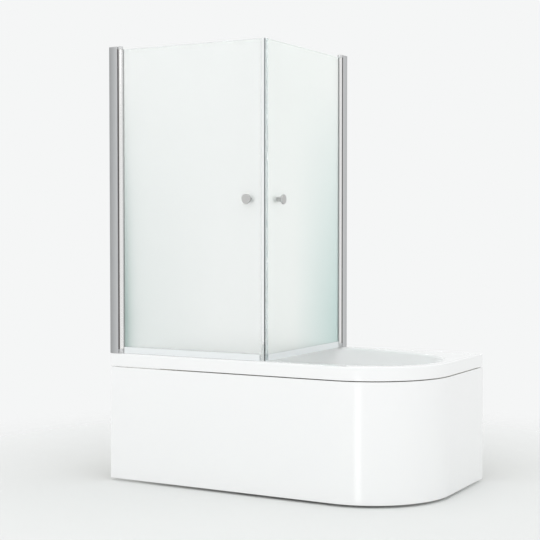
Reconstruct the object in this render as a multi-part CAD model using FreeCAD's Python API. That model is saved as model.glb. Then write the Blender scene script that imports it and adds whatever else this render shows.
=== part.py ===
import FreeCAD, Part
import math
import os

# Corner shower enclosure standing on the rim of a bath with one rounded corner.
# Built in a corner frame: X from the left wall, Y from the front of the bath towards the
# back wall, Z up from the floor, in millimetres. The finished pieces are moved so that the
# origin lies under the middle of the whole object.

Vector = FreeCAD.Vector
along_x = Vector(1, 0, 0)
along_y = Vector(0, 1, 0)
along_z = Vector(0, 0, 1)

# Diagonal of a unit square, for the mitred corner
diagonal_share = math.sqrt(2)

# Clearances shared by many fits
overrun = 5.0
running_gap = 0.4
slide_gap = 0.3
fit_gap = 0.05

# Bath rim and skirt
bath_length = 1500.0
bath_width = 800.0
front_corner_radius = 380.0
wall_corner_radius = 8.0
rim_thickness = 6.0
rim_edge_round = 6.0
skirt_height = 58.0
skirt_thickness = 5.0

# Basin: its floor's height above the room's, rim widths at the four sides, and how far each wall runs in
basin_depth = 420.0
basin_floor = 165.0
basin_wall = 6.0
basin_lip_round = 12.0
left_rim_width = 95.0
right_rim_width = 52.0
front_rim_width = 46.0
back_rim_width = 50.0
left_wall_run = 60.0
right_wall_run = 200.0
side_wall_run = 70.0
floor_round = 70.0
widest_share = 0.6
outline_points = 32
wall_steps = 7
round_steps = 3
loft_degree = 3
front_left_power = 3.4
front_right_power = 2.5
back_left_power = 3.4
back_right_power = 2.1

# Front panel with its turned-in flanges
panel_seam = 4.0
panel_floor_gap = 12.0
panel_thickness = 4.0
panel_flange = 18.0
panel_wall_gap = 1.0

# Brackets, magnets and steel plates that hold the panel
bracket_thickness = 3.0
bracket_width = 40.0
bracket_low = 70.0
bracket_head_gap = 33.0
magnet_radius = 14.0
magnet_depth = 8.0
magnet_end_gap = 25.0
plate_radius = 18.0
plate_thickness = 1.0
front_bracket_shares = (0.2, 0.55, 0.93)

# Support frame and levelling feet
board_thickness = 12.0
board_inset = 15.0
rail_size = 30.0
rail_wall = 2.0
rail_end_gap = 165.0
rail_inset = 20.0
cross_rail_overhang = 25.0
cross_rail_clearance = 40.0
foot_end_gap = 60.0
stud_radius = 6.0
stud_reach = 20.0
nut_height = 10.0
nut_radius = 10.5
pad_radius = 25.0
pad_edge = 6.0
pad_height = 18.0
pad_neck_radius = 13.0
pad_socket = 12.0

# Waste in the basin floor
waste_from_left = 360.0
waste_hole_radius = 26.0
waste_flange_radius = 35.0
waste_flange_thickness = 2.5
waste_mouth_radius = 20.0
waste_tail_radius = 24.5
waste_plate_radius = 44.0
waste_plate_thickness = 8.0
waste_board_gap = 4.0
cup_radius = 32.0
cup_wall = 4.0
cup_height = 50.0
spigot_radius = 20.0
spigot_wall = 3.0
spigot_length = 55.0
guide_radius = 8.0
guide_height = 28.0
guide_ribs = 3
guide_rib_thickness = 3.0
pipe_inlet_height = 28.0

# Pop-up plug
plug_radius = 31.0
plug_edge = 4.0
plug_crown = 4.0
plug_stem_radius = 5.0
plug_stem_gap = 2.5
plug_seal_thickness = 2.0
plug_seal_width = 7.0

# Overflow in the left end of the basin, with the knob that lifts the plug
overflow_drop = 105.0
overflow_hole_radius = 27.0
overflow_bore_radius = 24.0
overflow_flange_radius = 36.0
overflow_flange_thickness = 6.0
overflow_cup_radius = 30.0
overflow_cup_depth = 34.0
overflow_cup_wall = 4.0
overflow_boss_radius = 9.0
overflow_boss_depth = 14.0
gasket_thickness = 3.0
rosette_thickness = 6.0
rosette_bore_radius = 15.0
rosette_edge_round = 3.0
knob_gap = 3.0
turn_knob_radius = 31.0
turn_knob_thickness = 9.0
turn_knob_notches = 8
turn_knob_notch_radius = 5.0
turn_stem_radius = 5.0

# Overflow pipe and the plug's cable beside it
nozzle_radius = 14.0
nozzle_length = 26.0
pipe_radius = 11.0
pipe_wall = 2.0
pipe_bend_radius = 70.0
pipe_engagement = 18.0
cable_radius = 3.0
cable_offset = 22.0
gland_radius = 6.0
gland_length = 12.0

# Enclosure as a whole
enclosure_width = 804.0
enclosure_height = 1390.0
glass_setback = 12.0
glass_thickness = 6.0

# Wall profile, a channel screwed to the wall, and its end cap
profile_depth = 43.0
profile_width = 26.0
profile_wall = 2.0
profile_edge_round = 1.5
wall_hole_radius = 2.75
wall_hole_spacings = (1200.0, 400.0)
cap_thickness = 2.0
cap_peg = 10.0

# Jamb profile that slides in the channel, its screws and its seal
jamb_depth = 26.0
jamb_wall = 1.8
screw_radius = 2.0
screw_head_radius = 4.0
screw_head_height = 2.4
screw_tip = 3.0
screw_height_shares = (0.08, 0.5, 0.92)
seal_stem_width = 6.0
seal_bead_width = 10.0
seal_bead_depth = 2.0
swing_gap = 0.6

# Pivots at the foot and head of each door
hinge_distance = 55.0
lower_block_height = 20.0
upper_block_height = 13.0
block_plug_height = 15.0
pin_radius = 3.5
pin_running_gap = 0.06
pin_grip = 30.0
pin_tip_gap = 0.6
bush_radius = 6.0
bush_flange_radius = 10.0
bush_flange_thickness = 1.0
bush_length = 10.0

# Door post with the jaw that grips the glass
post_radius = 11.0
jaw_reach = 13.0
jaw_half_width = 7.5
jaw_round = 1.5
jaw_slot_depth = 8.0
gasket_wall = 1.5
gasket_show = 3.0

# Seals along the foot and the free edge of each door
seal_wall = 1.2
edge_seal_grip = 9.0
edge_seal_floor_gap = 3.0
glass_corner_gap = 14.0
mitre_gap = 0.3
magnet_bar_width = 6.0
magnet_bar_thickness = 1.5
magnet_bar_cover = 0.5
magnet_bar_gap = 0.1
drip_joint_gap = 0.5
drip_grip = 9.0
drip_web = 2.0
drip_lip_gap = 2.0
drip_fin_reach = 7.0
drip_fin_gap = 6.0

# Door knobs: a trumpet-shaped one outside the glass and a low button inside
knob_rise = 695.0
front_knob_inset = 74.0
side_knob_inset = 108.0
knob_length = 32.0
knob_head_radius = 21.5
knob_neck_radius = 11.5
knob_neck_length = 12.0
knob_waist_radius = 14.0
knob_rim_thickness = 8.0
knob_rim_round = 2.0
button_length = 14.0
button_radius = 16.0
button_edge_round = 3.0
button_stud_grip = 9.0
knob_stud_radius = 3.0
knob_stud_grip = 18.0
knob_hole_radius = 5.0
washer_radius = 11.0
washer_thickness = 1.0

# Heights and places worked out from the sizes above
rim_height = basin_floor + basin_depth
rim_underside = rim_height - rim_thickness
skirt_low = rim_height - skirt_height
floor_under = basin_floor - basin_wall
basin_middle = (front_rim_width + bath_width - back_rim_width) / 2
flat_left = left_rim_width + left_wall_run + floor_round
flat_right = bath_length - right_rim_width - right_wall_run - floor_round
flat_front = front_rim_width + side_wall_run + floor_round
flat_back = bath_width - back_rim_width - side_wall_run - floor_round
panel_high = skirt_low - panel_seam
bracket_high = panel_high - bracket_head_gap
front_straight = bath_length - front_corner_radius
board_low = floor_under - board_thickness
cross_rail_low = board_low - rail_size
rail_low = cross_rail_low - rail_size
rail_right = bath_length - rail_end_gap
front_rail_y = flat_front + rail_inset
back_rail_y = flat_back - rail_inset
first_cross_rail = waste_from_left + waste_plate_radius + cross_rail_clearance
last_cross_rail = flat_right - board_inset - cross_rail_clearance
middle_cross_rail = (first_cross_rail + last_cross_rail) / 2
middle_foot = middle_cross_rail - rail_size / 2 - 2 * nut_radius
plate_low = floor_under - waste_plate_thickness
cup_low = plate_low - cup_height
inlet_z = cup_low + pipe_inlet_height
flange_top = basin_floor + waste_flange_thickness
wall_lean = math.atan2(left_wall_run, basin_depth)
overflow_height = rim_height - overflow_drop
overflow_x = left_rim_width + left_wall_run * overflow_drop / basin_depth
overflow_wall = basin_wall * math.cos(wall_lean)
overflow_back = overflow_wall + overflow_flange_thickness + overflow_cup_depth
pipe_setback = overflow_back - overflow_cup_depth / 2
pipe_x = overflow_x - pipe_setback * math.cos(wall_lean)
pipe_top = overflow_height - pipe_setback * math.sin(wall_lean)
enclosure_top = rim_height + enclosure_height
post_low = rim_height + lower_block_height + bush_flange_thickness
post_high = enclosure_top - upper_block_height - bush_flange_thickness - running_gap
front_glass_plane = glass_setback + glass_thickness / 2
side_glass_plane = enclosure_width - glass_thickness / 2
glass_half = glass_thickness / 2
profile_half = profile_width / 2
channel_half = profile_half - profile_wall
jamb_half = channel_half - slide_gap
jamb_start = profile_depth - jamb_depth
jamb_low = rim_height + lower_block_height
jamb_high = enclosure_top - upper_block_height
jamb_seal_end = hinge_distance - jaw_half_width - swing_gap
screw_place = jamb_start + (jamb_depth - seal_bead_depth) / 2
jaw_end = hinge_distance + jaw_reach
slot_start = jaw_end - jaw_slot_depth
slot_half = glass_half + gasket_wall
glass_start = slot_start + gasket_wall
gasket_end = jaw_end + gasket_show
seal_half = glass_half + seal_wall
knob_height = rim_height + knob_rise
knob_seat = glass_half + washer_thickness
knob_proud = max(0.0, knob_seat + knob_length - front_glass_plane)


# Basic shapes

def block(x0, x1, y0, y1, z0, z1):
    low = Vector(min(x0, x1), min(y0, y1), min(z0, z1))
    return Part.makeBox(abs(x1 - x0), abs(y1 - y0), abs(z1 - z0), low)


def rod(radius, start, direction, length):
    return Part.makeCylinder(radius, length, start, direction)


def upright_rod(radius, x, y, z0, z1):
    return rod(radius, Vector(x, y, min(z0, z1)), along_z, abs(z1 - z0))


def tube(outer, inner, start, direction, length):
    return rod(outer, start, direction, length).cut(rod(inner, start, direction, length))


def prism(points, z0, z1):
    corners = [Vector(x, y, z0) for x, y in points]
    face = Part.Face(Part.makePolygon(corners + corners[:1]))
    return face.extrude(Vector(0, 0, z1 - z0))


def bar_along_x(points, x0, x1):
    corners = [Vector(x0, y, z) for y, z in points]
    face = Part.Face(Part.makePolygon(corners + corners[:1]))
    return face.extrude(Vector(x1 - x0, 0, 0))


def corner_arc(centre, radius, start_degrees):
    circle = Part.Circle(centre, along_z, radius)
    start = math.radians(start_degrees)
    return Part.ArcOfCircle(circle, start, start + math.pi / 2).toShape()


def rounded_block(x0, x1, y0, y1, radii, z0, z1):
    """Upright prism on a rectangle with its own radius at each corner, anticlockwise from (x0, y0)."""
    corners = ((x0, y0, 1, 1), (x1, y0, -1, 1), (x1, y1, -1, -1), (x0, y1, 1, -1))
    edges = []
    ends = []
    for index, ((x, y, inward_x, inward_y), radius) in enumerate(zip(corners, radii)):
        if radius > 0:
            centre = Vector(x + inward_x * radius, y + inward_y * radius, z0)
            arc = corner_arc(centre, radius, 180 + 90 * index)
            edges.append(arc)
            ends.append((arc.firstVertex().Point, arc.lastVertex().Point))
        else:
            ends.append((Vector(x, y, z0), Vector(x, y, z0)))
    for index, (_, leaving) in enumerate(ends):
        arriving = ends[(index + 1) % len(ends)][0]
        edges.append(Part.LineSegment(leaving, arriving).toShape())
    outline = Part.Wire(Part.__sortEdges__(edges))
    return Part.Face(outline).extrude(Vector(0, 0, z1 - z0))


def revolved(edges):
    """Solid of revolution about Z from edges drawn in the XZ plane."""
    outline = Part.Wire(Part.__sortEdges__(edges))
    return Part.Face(outline).revolve(Vector(), along_z, 360)


def line(a, b):
    return Part.LineSegment(Vector(a[0], 0, a[1]), Vector(b[0], 0, b[1])).toShape()


def bow(a, middle, b):
    points = [Vector(x, 0, z) for x, z in (a, middle, b)]
    return Part.Arc(*points).toShape()


def quarter_round(a, b, centre):
    """Rounded corner from a to b about a centre in the XZ plane."""
    radius = math.hypot(a[0] - centre[0], a[1] - centre[1])
    aim = math.atan2((a[1] + b[1]) / 2 - centre[1], (a[0] + b[0]) / 2 - centre[0])
    return bow(a, (centre[0] + radius * math.cos(aim), centre[1] + radius * math.sin(aim)), b)


def dome(radius, base, rise):
    """Arc of a sphere's cap from its brim, at a radius from the axis, up to its crown on the axis."""
    sphere = (radius ** 2 + rise ** 2) / (2 * rise)
    half_angle = math.asin(radius / sphere) / 2
    swell = (sphere * math.sin(half_angle), base + rise - sphere * (1 - math.cos(half_angle)))
    return bow((radius, base), swell, (0, base + rise))


def group(solids):
    return Part.makeCompound(list(solids))


# Bath shell

def deck_block(inset, z0, z1):
    """The bath's outline, drawn in by an inset, as an upright prism."""
    wall_radius = wall_corner_radius - inset
    radii = (wall_radius, front_corner_radius - inset, wall_radius, wall_radius)
    return rounded_block(inset, bath_length - inset, inset, bath_width - inset, radii, z0, z1)


def basin_section(skin, height, extra_inset):
    """Egg-shaped outline of the basin at a height: four quarters, each with its own fullness."""
    drop = (rim_height - height) / basin_depth
    x_left = left_rim_width + left_wall_run * drop + extra_inset - skin
    x_right = bath_length - right_rim_width - right_wall_run * drop - extra_inset + skin
    y_front = front_rim_width + side_wall_run * drop + extra_inset - skin
    y_back = bath_width - back_rim_width - side_wall_run * drop - extra_inset + skin
    centre_x = x_left + widest_share * (x_right - x_left)
    points = []
    for step in range(outline_points):
        angle = 2 * math.pi * step / outline_points
        across, along = math.cos(angle), math.sin(angle)
        half_x = x_right - centre_x if across >= 0 else centre_x - x_left
        half_y = y_back - basin_middle if along >= 0 else basin_middle - y_front
        if along >= 0:
            power = back_right_power if across >= 0 else back_left_power
        else:
            power = front_right_power if across >= 0 else front_left_power
        spread = abs(across / half_x) ** power + abs(along / half_y) ** power
        radius = spread ** (-1 / power)
        points.append(Vector(centre_x + radius * across, basin_middle + radius * along, height))
    curve = Part.BSplineCurve()
    curve.interpolate(Points=points, PeriodicFlag=True)
    return Part.Wire([curve.toShape()])


def basin_loft(skin, top):
    """Basin form grown outwards by a skin: sloping wall, then a round down to the flat floor."""
    wall_low = basin_floor + floor_round
    round_radius = floor_round + skin
    levels = [(top + step / wall_steps * (wall_low - top), 0.0) for step in range(wall_steps + 1)]
    for step in range(1, round_steps + 1):
        angle = step / round_steps * math.pi / 2
        levels.append((wall_low - round_radius * math.sin(angle), round_radius * (1 - math.cos(angle))))
    sections = [basin_section(skin, height, inset) for height, inset in levels]
    return Part.makeLoft(sections, True, False, False, loft_degree)


def edges_at_height(shape, height, keep):
    chosen = []
    for edge in shape.Edges:
        bounds = edge.BoundBox
        level = abs(bounds.ZMin - height) < fit_gap and abs(bounds.ZMax - height) < fit_gap
        if level and keep(edge.CenterOfMass, bounds):
            chosen.append(edge)
    return chosen


def bath_shell():
    deck = deck_block(0.0, skirt_low, rim_height)
    deck = deck.makeFillet(rim_edge_round, edges_at_height(deck, rim_height, lambda centre, bounds: True))
    deck = deck.cut(deck_block(skirt_thickness, skirt_low - overrun, rim_underside))
    shell = deck.fuse(basin_loft(basin_wall, rim_height - rim_thickness / 2))
    shell = shell.cut(basin_loft(0.0, rim_height + overrun))
    lip_limit = front_rim_width / 2

    def on_the_lip(centre, bounds):
        return bounds.YMin > lip_limit and bounds.XLength > 0

    shell = shell.makeFillet(basin_lip_round, edges_at_height(shell, rim_height, on_the_lip))
    shell = shell.cut(upright_rod(waste_hole_radius, waste_from_left, basin_middle,
                                  floor_under - overrun, basin_floor + overrun))
    hole_length = 2 * overrun + overflow_wall
    hole = rod(overflow_hole_radius, Vector(-overflow_wall - overrun, 0, 0), along_x, hole_length)
    return shell.cut(at_overflow(hole))


# Front panel and what holds it

def apron_band(depth, z0, z1):
    """Strip that follows the front, the rounded corner and the right end of the bath."""
    centre = Vector(front_straight, front_corner_radius, z0)
    inner_radius = front_corner_radius - depth
    front_end = Vector(panel_wall_gap, 0, z0)
    right_end = Vector(bath_length, bath_width, z0)
    inner_right_end = Vector(bath_length - depth, bath_width, z0)
    inner_front_end = Vector(panel_wall_gap, depth, z0)
    runs = (
        (front_end, Vector(front_straight, 0, z0)),
        (Vector(bath_length, front_corner_radius, z0), right_end),
        (right_end, inner_right_end),
        (inner_right_end, Vector(bath_length - depth, front_corner_radius, z0)),
        (Vector(front_straight, depth, z0), inner_front_end),
        (inner_front_end, front_end),
    )
    path = [Part.LineSegment(start, end).toShape() for start, end in runs]
    path += [corner_arc(centre, radius, 270) for radius in (front_corner_radius, inner_radius)]
    outline = Part.Wire(Part.__sortEdges__(path))
    return Part.Face(outline).extrude(Vector(0, 0, z1 - z0))


def front_panel():
    sheet = apron_band(panel_thickness, panel_floor_gap, panel_high)
    foot = apron_band(panel_flange, panel_floor_gap, panel_floor_gap + panel_thickness)
    head = apron_band(panel_flange, panel_high - panel_thickness, panel_high)
    return sheet.fuse(foot).fuse(head).removeSplitter()


def bracket_placings():
    """Each bracket's place on the panel: a function that puts it there, and how far off its rail is."""
    placings = []
    front_reach = front_rail_y - rail_size / 2 - panel_thickness
    for share in front_bracket_shares:
        place = Vector(share * front_straight, panel_thickness, 0)
        placings.append((lambda shape, place=place: shape.translated(place), front_reach))
    end_place = Vector(bath_length - panel_thickness, back_rail_y, 0)
    end_reach = bath_length - panel_thickness - rail_right

    def on_the_end(shape):
        return shape.rotated(Vector(), along_z, 90).translated(end_place)

    placings.append((on_the_end, end_reach))
    return placings


def bracket(reach):
    """Upright behind the panel with an arm back to its rail, drawn from the panel's inner face inwards."""
    near = plate_thickness + slide_gap + magnet_depth
    half = bracket_width / 2
    arm_z = rail_low + rail_size / 2
    upright = block(-half, half, near, near + bracket_thickness, bracket_low, bracket_high)
    arm = block(-half, half, near, reach, arm_z - bracket_thickness / 2, arm_z + bracket_thickness / 2)
    tab = block(-half, half, reach - bracket_thickness, reach, rail_low, rail_low + rail_size)
    return upright.fuse(arm).fuse(tab).removeSplitter()


def magnet_heights():
    return (bracket_low + magnet_end_gap + bracket_width, bracket_high - magnet_end_gap)


def panel_discs(radius, near, depth):
    """One disc at each magnet's place on one bracket."""
    return [rod(radius, Vector(0, near, z), along_y, depth) for z in magnet_heights()]


def panel_brackets():
    return group(place(bracket(reach)) for place, reach in bracket_placings())


def panel_magnets():
    near = plate_thickness + slide_gap
    return group(place(disc) for place, _ in bracket_placings()
                 for disc in panel_discs(magnet_radius, near, magnet_depth))


def panel_plates():
    return group(place(disc) for place, _ in bracket_placings()
                 for disc in panel_discs(plate_radius, 0.0, plate_thickness))


# Support frame

def square_tube_along_x(x0, x1, y, z0):
    outer = block(x0, x1, y - rail_size / 2, y + rail_size / 2, z0, z0 + rail_size)
    hollow_half = rail_size / 2 - rail_wall
    hollow = block(x0 - overrun, x1 + overrun, y - hollow_half, y + hollow_half,
                   z0 + rail_wall, z0 + rail_size - rail_wall)
    return outer.cut(hollow)


def foot_places_x():
    return (rail_end_gap + foot_end_gap, middle_foot, rail_right - foot_end_gap)


def foot_places():
    return [(x, y) for y in (front_rail_y, back_rail_y) for x in foot_places_x()]


def long_rail(y):
    rail = square_tube_along_x(rail_end_gap, rail_right, y, rail_low)
    for x in foot_places_x():
        rail = rail.cut(upright_rod(stud_radius + slide_gap, x, y,
                                    rail_low - overrun, cross_rail_low + overrun))
    return rail


def cross_rails():
    rails = []
    half_length = (back_rail_y - front_rail_y) / 2 + cross_rail_overhang
    middle_y = (front_rail_y + back_rail_y) / 2
    for x in (first_cross_rail, middle_cross_rail, last_cross_rail):
        rail = square_tube_along_x(-half_length, half_length, 0.0, cross_rail_low)
        rails.append(rail.rotated(Vector(), along_z, 90).translated(Vector(x, middle_y, 0)))
    return group(rails)


def base_board():
    board = block(flat_left + board_inset, flat_right - board_inset,
                  flat_front + board_inset, flat_back - board_inset, board_low, floor_under)
    cutout = upright_rod(waste_plate_radius + waste_board_gap, waste_from_left, basin_middle,
                         board_low - overrun, floor_under + overrun)
    return board.cut(cutout)


def foot_studs():
    return group(upright_rod(stud_radius, x, y, pad_height - pad_socket, cross_rail_low + stud_reach)
                 for x, y in foot_places())


def hex_nut(x, y, z0):
    corners = [(x + nut_radius * math.cos(math.radians(60 * step)),
                y + nut_radius * math.sin(math.radians(60 * step))) for step in range(6)]
    nut = prism(corners, z0, z0 + nut_height)
    return nut.cut(upright_rod(stud_radius + fit_gap, x, y, z0 - overrun, z0 + nut_height + overrun))


def foot_nuts():
    return group(hex_nut(x, y, z) for x, y in foot_places() for z in (rail_low - nut_height, cross_rail_low))


def foot_pad():
    socket_radius = stud_radius + fit_gap
    socket_floor = pad_height - pad_socket
    shoulder = (pad_neck_radius, pad_height - (pad_height - pad_edge) / 2)
    return revolved([
        line((0, 0), (pad_radius, 0)),
        line((pad_radius, 0), (pad_radius, pad_edge)),
        line((pad_radius, pad_edge), shoulder),
        line(shoulder, (pad_neck_radius, pad_height)),
        line((pad_neck_radius, pad_height), (socket_radius, pad_height)),
        line((socket_radius, pad_height), (socket_radius, socket_floor)),
        line((socket_radius, socket_floor), (0, socket_floor)),
        line((0, socket_floor), (0, 0)),
    ])


def foot_pads():
    return group(foot_pad().translated(Vector(x, y, 0)) for x, y in foot_places())


# Waste and pop-up plug

def waste_ring(outer, inner, z0, z1):
    return tube(outer, inner, Vector(waste_from_left, basin_middle, z0), along_z, z1 - z0)


def waste_flange():
    ring = waste_ring(waste_flange_radius, waste_mouth_radius, basin_floor, flange_top)
    tail = waste_ring(waste_tail_radius, waste_mouth_radius, plate_low, flange_top)
    return ring.fuse(tail).removeSplitter()


def waste_body():
    """Cup under the floor with the outlet spigot, overflow inlet, cable gland and the plug's guide."""
    centre = Vector(waste_from_left, basin_middle, 0)
    inner = cup_radius - cup_wall
    spigot_bore = spigot_radius - spigot_wall
    guide_low = cup_low + cup_wall
    plate = waste_ring(waste_plate_radius, waste_tail_radius + fit_gap, plate_low, floor_under)
    cup = upright_rod(cup_radius, centre.x, centre.y, cup_low, plate_low)
    spigot = upright_rod(spigot_radius, centre.x, centre.y, cup_low - spigot_length, cup_low)
    inlet_start = centre + Vector(-cup_radius - nozzle_length, 0, inlet_z)
    inlet = rod(nozzle_radius, inlet_start, along_x, cup_radius + nozzle_length)
    gland_start = centre + Vector(-cup_radius - gland_length, cable_offset, inlet_z)
    gland = rod(gland_radius, gland_start, along_x, cup_radius + gland_length)
    body = plate.fuse(cup).fuse(spigot).fuse(inlet).fuse(gland)
    body = body.cut(upright_rod(inner, centre.x, centre.y, guide_low, plate_low))
    body = body.cut(upright_rod(spigot_bore, centre.x, centre.y,
                                cup_low - spigot_length - overrun, guide_low))
    body = body.cut(rod(pipe_radius + fit_gap, inlet_start, along_x, cup_radius + nozzle_length))
    body = body.cut(rod(cable_radius + fit_gap, gland_start, along_x, cup_radius + gland_length))
    guide = upright_rod(guide_radius, centre.x, centre.y, guide_low, guide_low + guide_height)
    for rib in range(guide_ribs):
        arm = block(0.0, inner + cup_wall / 2, -guide_rib_thickness / 2, guide_rib_thickness / 2,
                    guide_low, guide_low + guide_height)
        guide = guide.fuse(arm.rotated(Vector(), along_z, 360 * rib / guide_ribs).translated(centre))
    body = body.fuse(guide)
    return body.cut(upright_rod(plug_stem_radius + pin_running_gap, centre.x, centre.y,
                                guide_low - overrun, guide_low + guide_height + overrun))


def waste_plug():
    """Domed cover on a stem that runs in the waste's guide."""
    under = flange_top + plug_seal_thickness
    brim = under + plug_edge
    stem_low = cup_low + cup_wall + plug_stem_gap
    plug = revolved([
        line((0, stem_low), (plug_stem_radius, stem_low)),
        line((plug_stem_radius, stem_low), (plug_stem_radius, under)),
        line((plug_stem_radius, under), (plug_radius, under)),
        line((plug_radius, under), (plug_radius, brim)),
        dome(plug_radius, brim, plug_crown),
        line((0, brim + plug_crown), (0, stem_low)),
    ])
    return plug.translated(Vector(waste_from_left, basin_middle, 0))


def plug_seal():
    inner = waste_mouth_radius + plug_seal_thickness
    return waste_ring(inner + plug_seal_width, inner, flange_top, flange_top + plug_seal_thickness)


# Overflow, its pipe and the plug's cable

def at_overflow(shape):
    """Puts a shape drawn along X, with the basin's wall face at zero, onto the leaning end wall."""
    leaned = shape.rotated(Vector(), along_y, -math.degrees(wall_lean))
    return leaned.translated(Vector(overflow_x, basin_middle, overflow_height))


def overflow_gasket(shell):
    ring = tube(overflow_flange_radius, overflow_hole_radius, Vector(-overflow_wall / 2, 0, 0), along_x,
                overflow_wall / 2 + gasket_thickness)
    return at_overflow(ring).cut(shell)


def overflow_rosette():
    """Ring cover with a rounded rim, drawn about Z and then turned to face along X."""
    top = gasket_thickness + rosette_thickness
    shoulder = overflow_flange_radius - rosette_edge_round
    ring = revolved([
        line((rosette_bore_radius, gasket_thickness), (overflow_flange_radius, gasket_thickness)),
        line((overflow_flange_radius, gasket_thickness), (overflow_flange_radius, top - rosette_edge_round)),
        quarter_round((overflow_flange_radius, top - rosette_edge_round), (shoulder, top),
                      (shoulder, top - rosette_edge_round)),
        line((shoulder, top), (rosette_bore_radius, top)),
        line((rosette_bore_radius, top), (rosette_bore_radius, gasket_thickness)),
    ])
    return at_overflow(ring.rotated(Vector(), along_y, 90))


def overflow_body(shell):
    """Housing clamped behind the wall, with a boss for the knob's stem, a pipe nozzle and the cable gland."""
    flange_back = -overflow_wall - overflow_flange_thickness
    cup_start = Vector(-overflow_back, 0, 0)
    bore_start = Vector(-overflow_back + overflow_cup_wall, 0, 0)
    bore_length = overflow_back - overflow_cup_wall + overrun
    housing = rod(overflow_flange_radius, Vector(flange_back, 0, 0), along_x,
                  overflow_flange_thickness + overflow_wall / 2)
    housing = housing.fuse(rod(overflow_cup_radius, cup_start, along_x, overflow_cup_depth))
    bore = rod(overflow_bore_radius, bore_start, along_x, bore_length)
    boss = rod(overflow_boss_radius, cup_start, along_x, overflow_cup_wall + overflow_boss_depth)
    stem_hole = rod(turn_stem_radius + pin_running_gap, bore_start, along_x, bore_length)
    nozzle_low = pipe_top - overflow_cup_radius - nozzle_length
    gland_low = pipe_top - overflow_cup_radius - gland_length
    nozzle = upright_rod(nozzle_radius, pipe_x, basin_middle, nozzle_low, pipe_top)
    gland = upright_rod(gland_radius, pipe_x, basin_middle + cable_offset, gland_low, pipe_top)
    body = at_overflow(housing).fuse(nozzle).fuse(gland).cut(at_overflow(bore)).fuse(at_overflow(boss))
    body = body.cut(upright_rod(pipe_radius + fit_gap, pipe_x, basin_middle, nozzle_low - overrun,
                                pipe_top - overflow_boss_radius - overflow_cup_wall))
    body = body.cut(upright_rod(cable_radius + fit_gap, pipe_x, basin_middle + cable_offset,
                                gland_low - overrun, pipe_top))
    return body.cut(at_overflow(stem_hole)).cut(shell)


def overflow_knob():
    """Notched hand disc on a stem, facing into the basin."""
    back = gasket_thickness + rosette_thickness + knob_gap
    disc = rod(turn_knob_radius, Vector(back, 0, 0), along_x, turn_knob_thickness)
    front_edges = [edge for edge in disc.Edges if edge.CenterOfMass.x > back + turn_knob_thickness / 2
                   and edge.Closed]
    disc = disc.makeFillet(turn_knob_thickness / 3, front_edges)
    for step in range(turn_knob_notches):
        angle = 2 * math.pi * step / turn_knob_notches
        rim = turn_knob_radius + turn_knob_notch_radius / 2
        place = Vector(back - overrun, rim * math.cos(angle), rim * math.sin(angle))
        disc = disc.cut(rod(turn_knob_notch_radius, place, along_x, turn_knob_thickness + 2 * overrun))
    stem_start = -overflow_back + overflow_cup_wall + knob_gap
    stem = rod(turn_stem_radius, Vector(stem_start, 0, 0), along_x,
               back - stem_start + turn_knob_thickness / 2)
    return at_overflow(disc.fuse(stem))


def drop_and_run(radius, y, top, end):
    """Round bar that drops beside the basin, bends once and runs under the floor to the waste."""
    bend_start = Vector(pipe_x, y, inlet_z + pipe_bend_radius)
    bend_end = Vector(pipe_x + pipe_bend_radius, y, inlet_z)
    slack = pipe_bend_radius * (1 - math.cos(math.pi / 4))
    bend_middle = Vector(pipe_x + slack, y, inlet_z + slack)
    path = Part.Wire([
        Part.LineSegment(Vector(pipe_x, y, top), bend_start).toShape(),
        Part.Arc(bend_start, bend_middle, bend_end).toShape(),
        Part.LineSegment(bend_end, Vector(end, y, inlet_z)).toShape(),
    ])
    ring = Part.Wire([Part.makeCircle(radius, Vector(pipe_x, y, top), along_z)])
    return path.makePipeShell([ring], True, False)


def overflow_pipe():
    top = pipe_top - overflow_cup_radius - nozzle_length + pipe_engagement
    end = waste_from_left - cup_radius - nozzle_length + pipe_engagement
    outer = drop_and_run(pipe_radius, basin_middle, top, end)
    return outer.cut(drop_and_run(pipe_radius - pipe_wall, basin_middle, top, end))


def plug_cable():
    top = pipe_top - overflow_cup_radius
    end = waste_from_left - cup_radius
    return drop_and_run(cable_radius, basin_middle + cable_offset, top, end)


# Door frame pieces, drawn with X out from the wall, Y into the shower and the glass plane at Y zero

def screw_heights():
    return [jamb_low + share * (jamb_high - jamb_low) for share in screw_height_shares]


def wall_profile():
    radii = (0.0, profile_edge_round, profile_edge_round, 0.0)
    profile = rounded_block(0.0, profile_depth, -profile_half, profile_half, radii,
                            rim_height, enclosure_top - cap_thickness)
    profile = profile.cut(block(profile_wall, profile_depth + overrun, -channel_half, channel_half,
                                rim_height - overrun, enclosure_top + overrun))
    middle = rim_height + enclosure_height / 2
    for spacing in wall_hole_spacings:
        for z in (middle - spacing / 2, middle + spacing / 2):
            hole = rod(wall_hole_radius, Vector(-overrun, 0, z), along_x, profile_wall + 2 * overrun)
            profile = profile.cut(hole)
    for z in screw_heights():
        hole = rod(screw_radius + slide_gap, Vector(screw_place, 0, z), along_y, profile_width)
        profile = profile.cut(hole)
    return profile


def profile_cap():
    radii = (0.0, profile_edge_round, profile_edge_round, 0.0)
    lid = rounded_block(0.0, profile_depth, -profile_half, profile_half, radii,
                        enclosure_top - cap_thickness, enclosure_top)
    peg = block(profile_wall + slide_gap, jamb_start - slide_gap, -jamb_half, jamb_half,
                enclosure_top - cap_thickness - cap_peg, enclosure_top - cap_thickness)
    return lid.fuse(peg)


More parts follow.
